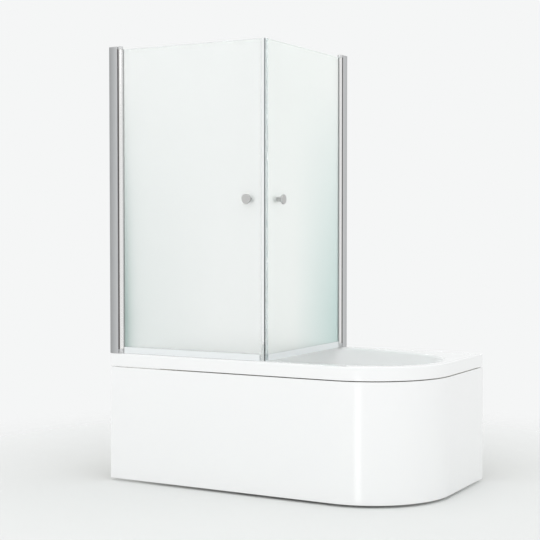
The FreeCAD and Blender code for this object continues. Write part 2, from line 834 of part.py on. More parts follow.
def jamb_profile():
    tube_shape = block(jamb_start, profile_depth, -jamb_half, jamb_half, jamb_low, jamb_high)
    inner_half = jamb_half - jamb_wall
    hollow = block(jamb_start + jamb_wall, profile_depth - jamb_wall, -inner_half, inner_half,
                   jamb_low - overrun, jamb_high + overrun)
    slot = block(profile_depth - jamb_wall - fit_gap, profile_depth + overrun, -seal_stem_width / 2,
                 seal_stem_width / 2, jamb_low - overrun, jamb_high + overrun)
    jamb = tube_shape.cut(hollow).cut(slot)
    for z in screw_heights():
        jamb = jamb.cut(rod(screw_radius + fit_gap, Vector(screw_place, 0, z), along_y, profile_width))
    return jamb


def jamb_seal():
    """Rubber strip keyed into the jamb, hollowed to follow the round post."""
    pad = block(profile_depth, jamb_seal_end, -jamb_half, jamb_half, jamb_low, jamb_high)
    stem_half = seal_stem_width / 2 - fit_gap
    bead_start = profile_depth - jamb_wall - seal_bead_depth
    stem = block(bead_start, profile_depth, -stem_half, stem_half, jamb_low, jamb_high)
    bead = block(bead_start, profile_depth - jamb_wall - fit_gap, -seal_bead_width / 2, seal_bead_width / 2,
                 jamb_low, jamb_high)
    hollow = upright_rod(post_radius + running_gap, hinge_distance, 0.0,
                         jamb_low - overrun, jamb_high + overrun)
    return pad.cut(hollow).fuse(stem).fuse(bead).removeSplitter()


def jamb_screws():
    screws = []
    tip = jamb_half - jamb_wall - screw_tip
    for z in screw_heights():
        shank = rod(screw_radius, Vector(screw_place, tip, z), along_y, profile_half - tip)
        head = rod(screw_head_radius, Vector(screw_place, profile_half, z), along_y, screw_head_height)
        screws.append(head.fuse(shank))
    return group(screws)


def pivot_block(post_face, far_face, channel_face, away):
    """Moulded block in the channel's end, with a round nose that holds the pivot bush.

    away is 1 where the post stands above the block and -1 where it hangs below."""
    nose = block(profile_depth, hinge_distance, -jamb_half, jamb_half, post_face, far_face)
    nose = nose.fuse(upright_rod(post_radius, hinge_distance, 0.0, post_face, far_face))
    tongue = block(jamb_start, profile_depth, -jamb_half, jamb_half, post_face, channel_face)
    plug_half = jamb_half - jamb_wall - slide_gap
    plug_end = profile_depth - jamb_wall - seal_bead_depth - slide_gap
    plug = block(jamb_start + jamb_wall + slide_gap, plug_end, -plug_half, plug_half,
                 post_face, post_face + away * block_plug_height)
    bore = upright_rod(bush_radius + fit_gap, hinge_distance, 0.0, post_face, post_face - away * bush_length)
    return nose.fuse(tongue).fuse(plug).removeSplitter().cut(bore)


def pivot_blocks():
    lower = pivot_block(jamb_low, rim_height, rim_height, 1)
    upper = pivot_block(jamb_high, enclosure_top, enclosure_top - cap_thickness, -1)
    return group([lower, upper])


def pivot_bush(post_face, away):
    sleeve = upright_rod(bush_radius, hinge_distance, 0.0, post_face, post_face - away * bush_length)
    flange = upright_rod(bush_flange_radius, hinge_distance, 0.0, post_face,
                         post_face + away * bush_flange_thickness)
    hole = upright_rod(pin_radius + pin_running_gap, hinge_distance, 0.0,
                       post_face + away * overrun, post_face - away * (bush_length + overrun))
    return sleeve.fuse(flange).cut(hole)


def pivot_bushes():
    return group([pivot_bush(jamb_low, 1), pivot_bush(jamb_high, -1)])


# Door pieces, in the same frame; reach is the distance from the wall to the other door's glass plane

def post():
    radii = (0.0, jaw_round, jaw_round, 0.0)
    bar = upright_rod(post_radius, hinge_distance, 0.0, post_low, post_high)
    jaw = rounded_block(hinge_distance, jaw_end, -jaw_half_width, jaw_half_width, radii, post_low, post_high)
    slot = block(slot_start, jaw_end + overrun, -slot_half, slot_half,
                 post_low - overrun, post_high + overrun)
    bore = upright_rod(pin_radius + fit_gap, hinge_distance, 0.0, post_low - overrun, post_high + overrun)
    return bar.fuse(jaw).cut(slot).cut(bore).removeSplitter()


def pivot_pins():
    reach = bush_length - pin_tip_gap
    lower = upright_rod(pin_radius, hinge_distance, 0.0, jamb_low - reach, post_low + pin_grip)
    upper = upright_rod(pin_radius, hinge_distance, 0.0, post_high - pin_grip, jamb_high + reach)
    return group([lower, upper])


def glass_gasket():
    channel = block(slot_start, gasket_end, -slot_half, slot_half, post_low, post_high)
    return channel.cut(block(glass_start, gasket_end + overrun, -glass_half, glass_half,
                             post_low - overrun, post_high + overrun))


def glass_edge(reach):
    return reach - glass_corner_gap


def glass_pane(reach, knob_place):
    pane = block(glass_start, glass_edge(reach), -glass_half, glass_half, post_low, post_high)
    hole = rod(knob_hole_radius, Vector(knob_place, -glass_half - overrun, knob_height), along_y,
               glass_thickness + 2 * overrun)
    return pane.cut(hole)


def edge_seal_start(reach):
    return glass_edge(reach) - edge_seal_grip


def magnet_corners(reach, spare):
    """Corners of the magnet bar, square to the mitre at the corner of the enclosure."""
    depth = mitre_gap + magnet_bar_cover + magnet_bar_thickness / 2
    centre = reach - depth * diagonal_share
    half_run = (magnet_bar_width / 2 + spare) / diagonal_share
    half_rise = (magnet_bar_thickness / 2 + spare) / diagonal_share
    signs = ((1, 1), (1, -1), (-1, -1), (-1, 1))
    return [(centre + run * half_run + rise * half_rise, -run * half_run + rise * half_rise)
            for run, rise in signs]


def magnet_seal(reach):
    """Clear strip that grips the glass edge and carries the magnet bar behind its mitred face."""
    low = rim_height + edge_seal_floor_gap
    start = edge_seal_start(reach)
    setback = mitre_gap * diagonal_share
    strip = prism([(start, -seal_half), (reach + seal_half - setback, -seal_half),
                   (reach - seal_half - setback, seal_half), (start, seal_half)], low, post_high)
    strip = strip.cut(block(start - overrun, glass_edge(reach), -glass_half, glass_half,
                            low - overrun, post_high + overrun))
    return strip.cut(prism(magnet_corners(reach, magnet_bar_gap), low - overrun, post_high + overrun))


def magnet_bar(reach):
    return prism(magnet_corners(reach, 0.0), rim_height + edge_seal_floor_gap, post_high)


def drip_seal(reach):
    """Clear strip under the glass: a channel on the edge, an outer lip and an inner drip fin."""
    start = gasket_end + drip_joint_gap
    end = edge_seal_start(reach) - drip_joint_gap
    web_low = post_low - drip_web
    lip_low = rim_height + drip_lip_gap
    fin_low = rim_height + drip_fin_gap
    channel = block(start, end, -seal_half, seal_half, web_low, post_low + drip_grip)
    channel = channel.cut(block(start - overrun, end + overrun, -glass_half, glass_half,
                                post_low, post_low + drip_grip + overrun))
    lip = block(start, end, -seal_half, -glass_half, lip_low, web_low)
    fin = bar_along_x([(glass_half, web_low), (seal_half, web_low), (seal_half + drip_fin_reach, fin_low),
                       (glass_half + drip_fin_reach, fin_low)], start, end)
    return channel.fuse(lip).fuse(fin).removeSplitter()


def knob_body(side, base_radius, top_radius, length, grip):
    """Body turned about Z from its side's edges, standing on zero, with a blind hole for the stud."""
    stud_hole = knob_stud_radius + fit_gap
    base = [line((stud_hole, 0), (base_radius, 0))]
    top_and_hole = [
        line((top_radius, length), (0, length)),
        line((0, length), (0, grip)),
        line((0, grip), (stud_hole, grip)),
        line((stud_hole, grip), (stud_hole, 0)),
    ]
    return revolved(base + side + top_and_hole)


def outer_knob(knob_place):
    """Trumpet-shaped knob: a straight neck that flares into a thick rounded head."""
    flare_end = knob_length - knob_rim_thickness
    flare_middle = (knob_neck_length + flare_end) / 2
    shoulder = knob_head_radius - knob_rim_round
    round_start = knob_length - knob_rim_round
    side = [
        line((knob_neck_radius, 0), (knob_neck_radius, knob_neck_length)),
        bow((knob_neck_radius, knob_neck_length), (knob_waist_radius, flare_middle),
            (knob_head_radius, flare_end)),
        line((knob_head_radius, flare_end), (knob_head_radius, round_start)),
        quarter_round((knob_head_radius, round_start), (shoulder, knob_length), (shoulder, round_start)),
    ]
    body = knob_body(side, knob_neck_radius, shoulder, knob_length, knob_stud_grip)
    return body.rotated(Vector(), along_x, 90).translated(Vector(knob_place, -knob_seat, knob_height))


def inner_knob(knob_place):
    """Low round button that closes the fixing inside the door."""
    shoulder = button_radius - button_edge_round
    round_start = button_length - button_edge_round
    side = [
        line((button_radius, 0), (button_radius, round_start)),
        quarter_round((button_radius, round_start), (shoulder, button_length), (shoulder, round_start)),
    ]
    body = knob_body(side, button_radius, shoulder, button_length, button_stud_grip)
    return body.rotated(Vector(), along_x, -90).translated(Vector(knob_place, knob_seat, knob_height))


def knob_washers(knob_place):
    starts = (-knob_seat, glass_half)
    return group(tube(washer_radius, knob_stud_radius + slide_gap, Vector(knob_place, start, knob_height),
                      along_y, washer_thickness) for start in starts)


def knob_stud(knob_place):
    outer_reach = knob_seat + knob_stud_grip - slide_gap
    inner_reach = knob_seat + button_stud_grip - slide_gap
    return rod(knob_stud_radius, Vector(knob_place, -outer_reach, knob_height), along_y,
               outer_reach + inner_reach)


# Putting the enclosure together

def on_left_wall(shape):
    return shape.translated(Vector(0, front_glass_plane, 0))


def on_back_wall(shape):
    """Mirror image about the corner's mitre, moved to the back wall."""
    return shape.mirror(Vector(), Vector(1, 1, 0)).translated(Vector(side_glass_plane, bath_width, 0))


def door_frame(place):
    return {
        "wall_profile": place(wall_profile()),
        "profile_cap": place(profile_cap()),
        "jamb_profile": place(jamb_profile()),
        "jamb_seal": place(jamb_seal()),
        "jamb_screws": place(jamb_screws()),
        "pivot_blocks": place(pivot_blocks()),
        "pivot_bushes": place(pivot_bushes()),
    }


def door(place, reach, knob_inset):
    knob_place = reach - knob_inset
    return {
        "post": place(post()),
        "pivot_pins": place(pivot_pins()),
        "gasket": place(glass_gasket()),
        "glass": place(glass_pane(reach, knob_place)),
        "drip_seal": place(drip_seal(reach)),
        "magnet_seal": place(magnet_seal(reach)),
        "magnet": place(magnet_bar(reach)),
        "outer_knob": place(outer_knob(knob_place)),
        "inner_knob": place(inner_knob(knob_place)),
        "knob_washers": place(knob_washers(knob_place)),
        "knob_stud": place(knob_stud(knob_place)),
    }


def bath_pieces():
    shell = bath_shell()
    return {
        "bath_shell": shell,
        "base_board": base_board(),
        "front_rail": long_rail(front_rail_y),
        "back_rail": long_rail(back_rail_y),
        "cross_rails": cross_rails(),
        "foot_studs": foot_studs(),
        "foot_nuts": foot_nuts(),
        "foot_pads": foot_pads(),
        "front_panel": front_panel(),
        "panel_brackets": panel_brackets(),
        "panel_magnets": panel_magnets(),
        "panel_plates": panel_plates(),
        "waste_flange": waste_flange(),
        "waste_body": waste_body(),
        "waste_plug": waste_plug(),
        "plug_seal": plug_seal(),
        "overflow_gasket": overflow_gasket(shell),
        "overflow_rosette": overflow_rosette(),
        "overflow_body": overflow_body(shell),
        "overflow_knob": overflow_knob(),
        "overflow_pipe": overflow_pipe(),
        "plug_cable": plug_cable(),
    }


pieces = bath_pieces()
front_reach = side_glass_plane
side_reach = bath_width - front_glass_plane
for prefix, members in (
    ("left_", door_frame(on_left_wall)),
    ("back_", door_frame(on_back_wall)),
    ("front_door_", door(on_left_wall, front_reach, front_knob_inset)),
    ("side_door_", door(on_back_wall, side_reach, side_knob_inset)),
):
    for name, shape in members.items():
        pieces[prefix + name] = shape

to_middle = Vector(-bath_length / 2, -(bath_width - knob_proud) / 2, 0)
os.makedirs("parts", exist_ok=True)
for name, shape in pieces.items():
    shape.translated(to_middle).exportStep("parts/" + name + ".step")
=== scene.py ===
import math

import bmesh
import bpy
from mathutils import Matrix, Vector


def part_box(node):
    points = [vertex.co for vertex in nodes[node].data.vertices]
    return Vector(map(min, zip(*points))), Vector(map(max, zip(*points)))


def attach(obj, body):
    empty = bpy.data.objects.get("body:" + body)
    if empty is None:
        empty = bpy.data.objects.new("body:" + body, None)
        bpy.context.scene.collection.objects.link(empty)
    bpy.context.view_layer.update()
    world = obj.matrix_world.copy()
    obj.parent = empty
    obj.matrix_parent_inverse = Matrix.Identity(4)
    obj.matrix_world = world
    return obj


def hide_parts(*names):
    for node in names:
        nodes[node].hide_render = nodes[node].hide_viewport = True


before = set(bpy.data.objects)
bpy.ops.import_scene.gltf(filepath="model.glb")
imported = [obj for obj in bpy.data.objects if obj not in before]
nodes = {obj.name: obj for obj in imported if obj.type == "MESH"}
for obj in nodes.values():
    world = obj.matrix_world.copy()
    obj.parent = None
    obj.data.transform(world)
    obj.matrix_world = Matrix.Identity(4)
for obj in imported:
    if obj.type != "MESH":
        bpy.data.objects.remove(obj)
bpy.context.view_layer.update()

# Corner shower enclosure on a bath with one rounded corner. Lengths are in metres, in the row frame.

bath_low, bath_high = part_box("bath_shell")
panel_low, panel_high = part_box("front_panel")

# Bath shell, as the solid has it
corner_radius = 0.380
wall_corner_radius = 0.008
rim_thickness = 0.006
rim_edge_round = 0.006
skirt_height = 0.058
skirt_thickness = 0.005
skirt_edge_round = 0.0015
shell_wall = 0.006
left_rim, right_rim, front_rim, back_rim = 0.095, 0.052, 0.046, 0.050
left_run, right_run, side_run = 0.060, 0.200, 0.070
floor_round = 0.070
lip_round = 0.012
widest_share = 0.6
front_left_power, front_right_power = 3.4, 2.5
back_left_power, back_right_power = 3.4, 2.1
least_corner_radius = 0.0005
mid_round_share = 0.3
outline_step = 0.018
big_corner_steps, small_corner_steps = 44, 6
wall_rings, round_rings, lip_rings, edge_rings = 9, 9, 8, 6

# Holes in the basin, and the lengths of the cutters that make them
waste_hole_radius, overflow_hole_radius = 0.026, 0.027
waste_cut, overflow_cut = 0.1, 0.06
hole_segments = 48

# Front panel
panel_thickness = 0.004
panel_flange = 0.018
panel_edge_round = 0.0025
panel_edge_steps = 4

# Knobs: a trumpet outside the glass, a low mushroom inside
outer_knob_sizes = {"length": 0.032, "head_radius": 0.0215, "neck_radius": 0.0102, "neck_length": 0.005,
                    "rim_depth": 0.007, "edge_round": 0.002}
inner_knob_sizes = {"length": 0.014, "head_radius": 0.016, "neck_radius": 0.0080, "neck_length": 0.005,
                    "rim_depth": 0.004, "edge_round": 0.002}
knob_flare_steps, knob_edge_steps, knob_segments = 14, 5, 64

# Feet under the frame, and the screws of the wall profiles
pad_radius = 0.025
stud_radius = 0.006
thread_pitch = 0.00175
thread_depth = 0.0007
thread_turn_points, thread_ridge_points, stud_segments = 14, 4, 24
nut_radius = 0.0105
nut_height = 0.010
nut_chamfer = 0.0014
nut_side_points = 4
screw_head_radius = 0.004
screw_head_height = 0.0024
screw_dome_share = 0.6
screw_dome_steps, screw_segments = 6, 24
screw_shank_radius = 0.002
recess_arm = 0.0022
recess_width = 0.0009
recess_depth = 0.0014

# Plug of the waste
plug_crown = 0.004
plug_edge = 0.004
plug_stem_radius = 0.005
plug_edge_round = 0.0008
plug_edge_steps, plug_dome_steps, plug_segments = 4, 12, 64

# Groove in the pivot blocks
groove_width = 0.0065
groove_depth = 0.007
groove_overrun = 0.01
block_half_width = 0.011

# Glass: painted shade, a darker green, falls off away from the post and with height; its inner face is etched
post_falloff = 18.0
front_post_share, side_post_share = 0.78, 0.0
front_shade_width, side_shade_width = 0.50, 0.46
full_shade_height, no_shade_height = 0.75, 1.82
glass_in_jaw = 0.0245
front_clearness, side_clearness = 0.68, 0.80
cut_edge_colour = "A9C7BD"
cut_edge_depth = 0.0003
polished_roughness, etched_roughness = 0.06, 0.65

# Meshes: points this near are one, and edges that turn by more than these degrees stay sharp
seam_gap = 1e-6
flat_face_weight = 100
bath_sharp, panel_sharp, stud_sharp, nut_sharp = 42, 40, 50, 28
screw_sharp, plug_sharp, block_sharp, knob_sharp = 40, 40, 30, 50

# Finishes: middle range of a noise, streaks of the wall profiles, and gloss
noise_low, noise_high = 0.3, 0.7
profile_streaks = 0.15
back_roughness = 0.7
plastic_rough_range = 0.12

# Heights and places worked out from the boxes
rim_height = bath_high.z
skirt_low = rim_height - skirt_height
basin_floor = bath_low.z + shell_wall
basin_depth = rim_height - basin_floor
basin_middle = (bath_low.y + front_rim + bath_high.y - back_rim) / 2
corner_centre = Vector((bath_high.x - corner_radius, bath_low.y + corner_radius))


# Colours and nodes

def linear(hex_colour):
    """Linear red, green, blue and alpha of an sRGB hex colour."""
    shares = [int(hex_colour[i:i + 2], 16) / 255 for i in (0, 2, 4)]
    rgb = [s / 12.92 if s <= 0.04045 else ((s + 0.055) / 1.055) ** 2.4 for s in shares]
    return (*rgb, 1.0)


def add_node(tree, kind, inputs=None, **settings):
    """Adds a node with its settings; an input is a value, or an output that is linked to it."""
    node = tree.nodes.new(kind)
    for name, value in settings.items():
        setattr(node, name, value)
    for socket, value in (inputs or {}).items():
        if isinstance(value, bpy.types.NodeSocket):
            tree.links.new(value, node.inputs[socket])
        else:
            node.inputs[socket].default_value = value
    return node


def finish_of(name, colour, sockets):
    """Material with one shader, whose constants sit on its own sockets."""
    material = bpy.data.materials.new(name)
    material.use_nodes = True
    tree = material.node_tree
    shader = tree.nodes["Principled BSDF"]
    shader.inputs["Base Color"].default_value = linear(colour)
    for socket, value in sockets.items():
        shader.inputs[socket].default_value = value
    return material, tree, shader


def patches(tree, size_mm, stretch=(1, 1, 1), detail=2.0, turn_degrees=0):
    """Random soft patches in the piece's own coordinates, about size_mm across before the stretch."""
    place = add_node(tree, "ShaderNodeTexCoord")
    turn = math.radians(turn_degrees)
    turned = add_node(tree, "ShaderNodeMapping", {"Vector": place.outputs["Object"], "Scale": stretch,
                                                  "Rotation": (turn, turn, turn)})
    noise = add_node(tree, "ShaderNodeTexNoise", {"Vector": turned.outputs["Vector"],
                                                  "Scale": 1000 / size_mm, "Detail": detail})
    return noise.outputs["Fac"]


def between(tree, factor, low, high):
    """The factor's middle range spread from low to high."""
    spread = add_node(tree, "ShaderNodeMapRange", {
        "Value": factor, "From Min": noise_low, "From Max": noise_high, "To Min": low, "To Max": high})
    return spread.outputs["Result"]


def graded(tree, axis, start, end, first=0.0, last=1.0):
    """A value that runs from first to last between two places along one of the piece's own axes."""
    place = add_node(tree, "ShaderNodeTexCoord")
    split = add_node(tree, "ShaderNodeSeparateXYZ", {"Vector": place.outputs["Object"]})
    run = add_node(tree, "ShaderNodeMapRange", {
        "Value": split.outputs[axis], "From Min": start, "From Max": end, "To Min": first, "To Max": last})
    return run.outputs["Result"]


def blend_colours(tree, factor, first, second):
    """Mix of two colours, each a hex value or an output."""
    colours = [linear(colour) if isinstance(colour, str) else colour for colour in (first, second)]
    mixed = add_node(tree, "ShaderNodeMix", {0: factor, 6: colours[0], 7: colours[1]}, data_type="RGBA")
    return mixed.outputs[2]


def roughen(tree, shader, factor, low, high):
    """Roughness that follows a pattern."""
    tree.links.new(between(tree, factor, low, high), shader.inputs["Roughness"])


def tint(tree, shader, factor, first, second):
    """Colour that follows a pattern between two tones."""
    colour = blend_colours(tree, between(tree, factor, 0.0, 1.0), first, second)
    tree.links.new(colour, shader.inputs["Base Color"])


def relief(tree, shader, height, depth_mm, strength):
    """Bump from a height pattern, laid over the bump that the shader already has."""
    bump = add_node(tree, "ShaderNodeBump", {"Height": height, "Distance": depth_mm / 1000,
                                             "Strength": strength})
    normal = shader.inputs["Normal"]
    if normal.is_linked:
        tree.links.new(normal.links[0].from_socket, bump.inputs["Normal"])
    tree.links.new(bump.outputs["Normal"], normal)


def soften_edges(tree, shader, radius_mm):
    """Lets the edges of a square-cut piece catch the light, as their small round does."""
    edge = add_node(tree, "ShaderNodeBevel", {"Radius": radius_mm / 1000}, samples=4)
    tree.links.new(edge.outputs["Normal"], shader.inputs["Normal"])


# Finishes

def white_acrylic():
    """Vacuum-formed acrylic sheet: deep gloss and faintly wavy; its hidden back is matt resin and strands."""
    white = "F3F4F4"
    material, tree, shader = finish_of("white_acrylic", white, {"IOR": 1.49})
    back = add_node(tree, "ShaderNodeAttribute", attribute_name="backing").outputs["Fac"]
    strands = add_node(tree, "ShaderNodeMath", {
        0: patches(tree, size_mm=1.6, stretch=(1, 0.04, 0.04), turn_degrees=35),
        1: patches(tree, size_mm=1.6, stretch=(0.04, 1, 0.04), turn_degrees=-50)}, operation="MAXIMUM")
    resin = blend_colours(tree, between(tree, strands.outputs["Value"], 0.0, 1.0), "DDD8C9", "EFECE2")
    tree.links.new(blend_colours(tree, back, white, resin), shader.inputs["Base Color"])
    gloss = between(tree, patches(tree, size_mm=70), 0.10, 0.16)
    dulled = add_node(tree, "ShaderNodeMapRange", {"Value": back, "To Min": gloss, "To Max": back_roughness})
    tree.links.new(dulled.outputs["Result"], shader.inputs["Roughness"])
    relief(tree, shader, patches(tree, size_mm=160, detail=1.0), depth_mm=0.4, strength=0.06)
    lay = add_node(tree, "ShaderNodeMath", {0: strands.outputs["Value"], 1: back}, operation="MULTIPLY")
    relief(tree, shader, lay.outputs["Value"], depth_mm=0.6, strength=0.5)
    return material


def frosted_glass(name, colours, clearness, axis, hung_edge, clear_edge, post_share, across,
                  outer_face, inner_face):
    """Float glass, polished outside and acid-etched inside: a soft pale veil, with painted shade in a darker
    green low by the post.

    The cut top edge shows the green of the glass itself."""
    veil, deep = colours
    material, tree, shader = finish_of(name, veil, {"IOR": 1.16, "Transmission Weight": clearness})
    near = graded(tree, axis, hung_edge, clear_edge, 1.0, 0.0)
    beside = add_node(tree, "ShaderNodeMath", {0: near, 1: post_falloff}, operation="POWER")
    across_door = add_node(tree, "ShaderNodeMix", {0: post_share, 2: near, 3: beside.outputs["Value"]})
    # Painted shade: a darker green low down and beside the post, falling off with height
    low = graded(tree, "Z", full_shade_height, no_shade_height, 1.0, 0.0)
    painted_shade = add_node(tree, "ShaderNodeMath", {0: across_door.outputs[0], 1: low}, operation="MULTIPLY")
    pane = blend_colours(tree, painted_shade.outputs["Value"], veil, deep)
    cut = graded(tree, "Z", front_glass_high.z - cut_edge_depth, front_glass_high.z)
    tree.links.new(blend_colours(tree, cut, pane, cut_edge_colour), shader.inputs["Base Color"])
    etch = graded(tree, across, outer_face, inner_face, polished_roughness, etched_roughness)
    tree.links.new(etch, shader.inputs["Roughness"])
    return material


def satin_extrusion(name, tone):
    """Base of the anodised extrusions: matt silver with fine lines along its length."""
    material, tree, shader = finish_of(name, tone, {"Metallic": 1.0})
    soften_edges(tree, shader, radius_mm=0.8)
    lines = patches(tree, size_mm=1.2, stretch=(1, 1, 0.01))
    roughen(tree, shader, lines, low=0.30, high=0.44)
    relief(tree, shader, lines, depth_mm=0.03, strength=0.25)
    return material, tree, shader, lines


def satin_aluminium():
    """Anodised extrusion: matt silver, its fine lines a little paler and darker."""
    material, tree, shader, lines = satin_extrusion("satin_aluminium", "B4B5B6")
    tint(tree, shader, lines, "ABACAD", "BDBEBF")
    return material


def wall_shaded_aluminium(name, wall_shade_tone, door_tone, axis, wall_face, door_face):
    """Anodised extrusion by the wall, with painted shade: its silver is darker towards the wall."""
    material, tree, shader, lines = satin_extrusion(name, door_tone)
    streaks = between(tree, lines, -profile_streaks, profile_streaks)
    streaked = add_node(tree, "ShaderNodeMath", {0: graded(tree, axis, wall_face, door_face), 1: streaks},
                        operation="ADD")
    # Painted shade: the colour darkens from the door's edge towards the wall; the streaks are the extrusion's
    # own fine lines
    colour = blend_colours(tree, streaked.outputs["Value"], wall_shade_tone, door_tone)
    tree.links.new(colour, shader.inputs["Base Color"])
    return material


def bright_aluminium():
    """Polished and anodised extrusion: bright, with soft long reflections."""
    material, tree, shader = finish_of("bright_aluminium", "EDECEB", {"Metallic": 1.0})
    lines = patches(tree, size_mm=2.0, stretch=(1, 1, 0.01))
    roughen(tree, shader, lines, low=0.14, high=0.22)
    return material


def satin_metal():
    """Cast zinc knob plated in satin nickel: an even grey sheen with a fine blasted grain."""
    material, tree, shader = finish_of("satin_metal", "C0C0BF", {"Metallic": 0.65})
    grain = patches(tree, size_mm=0.6)
    roughen(tree, shader, grain, low=0.40, high=0.50)
    relief(tree, shader, grain, depth_mm=0.02, strength=0.2)
    return material


def chrome():
    """Chromed brass: mirror bright, with a trace of water marks."""
    material, tree, shader = finish_of("chrome", "DCDEE0", {"Metallic": 1.0})
    roughen(tree, shader, patches(tree, size_mm=12), low=0.04, high=0.10)
    return material


def soft_pvc(name, colour, veil, line_stretch=(1, 1, 0.02)):
    """Extruded PVC: glassy with a cool cast, and faint drawing lines along its length."""
    material, tree, shader = finish_of(name, colour, {"IOR": 1.53, "Alpha": veil})
    lines = patches(tree, size_mm=1.5, stretch=line_stretch)
    roughen(tree, shader, lines, low=0.10, high=0.22)
    return material


def seal_rubber(name, deep, pale):
    """Extruded EPDM rubber: matt, with a dusty grain."""
    material, tree, shader = finish_of(name, deep, {"Specular IOR Level": 0.3})
    grain = patches(tree, size_mm=0.8)
    tint(tree, shader, grain, deep, pale)
    roughen(tree, shader, grain, low=0.62, high=0.78)
    return material


def magnet_ferrite():
    """Sintered ferrite in a plastic binder: dark grey and dull."""
    material, tree, shader = finish_of("magnet_ferrite", "33373A", {})
    grain = patches(tree, size_mm=0.7)
    tint(tree, shader, grain, "2D3134", "3A3E41")
    roughen(tree, shader, grain, low=0.5, high=0.65)
    return material


def shaded_edge_magnet(name):
    """Ferrite bar in the door's clear strip, with painted shade near black at the foot and painted light
    greyer towards the head.
    """
    material, tree, shader = finish_of(name, "33373A", {})
    up = graded(tree, "Z", rim_height, front_glass_high.z)
    # Painted shade at the foot grading to painted light towards the head
    tree.links.new(blend_colours(tree, up, "0C0F10", "8A8E90"), shader.inputs["Base Color"])
    roughen(tree, shader, patches(tree, size_mm=0.7), low=0.5, high=0.65)
    return material


def moulded_plastic(name, pale, deep, rough):
    """Injection-moulded plastic with a fine spark-eroded texture, which dulls its gloss."""
    material, tree, shader = finish_of(name, pale, {"IOR": 1.52})
    soften_edges(tree, shader, radius_mm=0.6)
    grain = patches(tree, size_mm=0.7)
    tint(tree, shader, grain, pale, deep)
    roughen(tree, shader, grain, rough, rough + plastic_rough_range)
    relief(tree, shader, grain, depth_mm=0.02, strength=0.25)
    return material


def zinc_steel():
    """Bright zinc plate on steel: pale blue-grey, cloudy where the plating is uneven."""
    material, tree, shader = finish_of("zinc_steel", "B9BDC2", {"Metallic": 1.0})
    clouds = patches(tree, size_mm=6)
    tint(tree, shader, clouds, "AEB3B8", "C6C8C9")
    roughen(tree, shader, clouds, low=0.26, high=0.42)
    return material


def painted_steel():
    """Powder-coated steel tube: light grey with a slight orange-peel skin."""
    material, tree, shader = finish_of("painted_steel", "C9CBCC", {"IOR": 1.5})
    soften_edges(tree, shader, radius_mm=1.5)
    peel = patches(tree, size_mm=2.5)
    roughen(tree, shader, peel, low=0.34, high=0.46)
    relief(tree, shader, peel, depth_mm=0.05, strength=0.3)
    return material


def base_board():
    """Pressed chipboard: flakes of wood a few millimetres long, pale and dark, with a dry face."""
    material, tree, shader = finish_of("base_board", "C3A67F", {"Specular IOR Level": 0.25})
    flakes = patches(tree, size_mm=5, stretch=(1, 0.45, 1), detail=5.0)
    tint(tree, shader, flakes, "A5835A", "D9C19B")
    roughen(tree, shader, flakes, low=0.75, high=0.9)
    relief(tree, shader, flakes, depth_mm=0.15, strength=0.3)
    return material


front_glass_low, front_glass_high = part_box("front_door_glass")
side_glass_low, side_glass_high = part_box("side_door_glass")
finishes = {
    "white_acrylic": white_acrylic(),
    "satin_aluminium": satin_aluminium(),
    "bright_aluminium": bright_aluminium(),
    "satin_metal": satin_metal(),
    "chrome": chrome(),
    "clear_pvc": soft_pvc("clear_pvc", "E6EFF1", veil=0.10),
    "dark_rubber": seal_rubber("dark_rubber", "625F5F", "6D6A6A"),
    "grey_rubber": seal_rubber("grey_rubber", "B4B6B6", "BEC0C0"),
    "magnet_ferrite": magnet_ferrite(),
    "grey_plastic": moulded_plastic("grey_plastic", "D2D3D3", "C9CACB", rough=0.42),
    "white_nylon": moulded_plastic("white_nylon", "E9E8E3", "DEDDD8", rough=0.40),
    "white_plastic": moulded_plastic("white_plastic", "ECEDEC", "E4E5E4", rough=0.34),
    "black_plastic": moulded_plastic("black_plastic", "2A2A2B", "222223", rough=0.45),
    "zinc_steel": zinc_steel(),
    "painted_steel": painted_steel(),
    "base_board": base_board(),
}
left_profile_low, left_profile_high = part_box("left_wall_profile")
back_profile_low, back_profile_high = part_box("back_wall_profile")
own_finishes = {
    # The wall profiles carry painted shade, darker towards the wall
    "left_wall_profile": wall_shaded_aluminium(
        "satin_aluminium_left", "A2A3A4", "C9CACB", "X", left_profile_low.x, left_profile_high.x),
    "back_wall_profile": wall_shaded_aluminium(
        "satin_aluminium_back", "B8B9BA", "C7C8C9", "Y", back_profile_high.y, back_profile_low.y),
    "front_door_magnet": shaded_edge_magnet("magnet_ferrite_front"),
    "side_door_magnet": shaded_edge_magnet("magnet_ferrite_side"),
    "front_door_magnet_seal": soft_pvc("magnet_pvc_front", "E6EFF1", veil=0.03),
    "side_door_magnet_seal": soft_pvc("magnet_pvc_side", "D4E6EA", veil=0.15),
    "front_door_drip_seal": soft_pvc("drip_pvc_front", "E7EBEC", veil=1.0, line_stretch=(0.02, 1, 1)),
    "side_door_drip_seal": soft_pvc("drip_pvc_side", "E9EEEF", veil=1.0, line_stretch=(1, 0.02, 1)),
    # Painted light: the side pane's veil and green are paler than the front pane's, for the side that gets
    # less light; the deep colours are painted shade
    "front_door_glass": frosted_glass(
        "frosted_glass_front", ("F6F8F7", "BDCDC9"), front_clearness,
        "X", front_glass_low.x + glass_in_jaw, front_glass_low.x + front_shade_width, front_post_share,
        "Y", front_glass_low.y, front_glass_high.y),
    "side_door_glass": frosted_glass(
        "frosted_glass_side", ("FAFDFB", "D4E7E4"), side_clearness,
        "Y", side_glass_high.y, side_glass_high.y - side_shade_width, side_post_share,
        "X", side_glass_high.x, side_glass_low.x),
}
# Each CAD node wears its own finish, or that of its slot
for name, node in nodes.items():
    slot = node.data.materials[0].name
    node.data.materials[0] = own_finishes.get(name) or finishes[slot.split(".")[0]]


# Mesh pieces

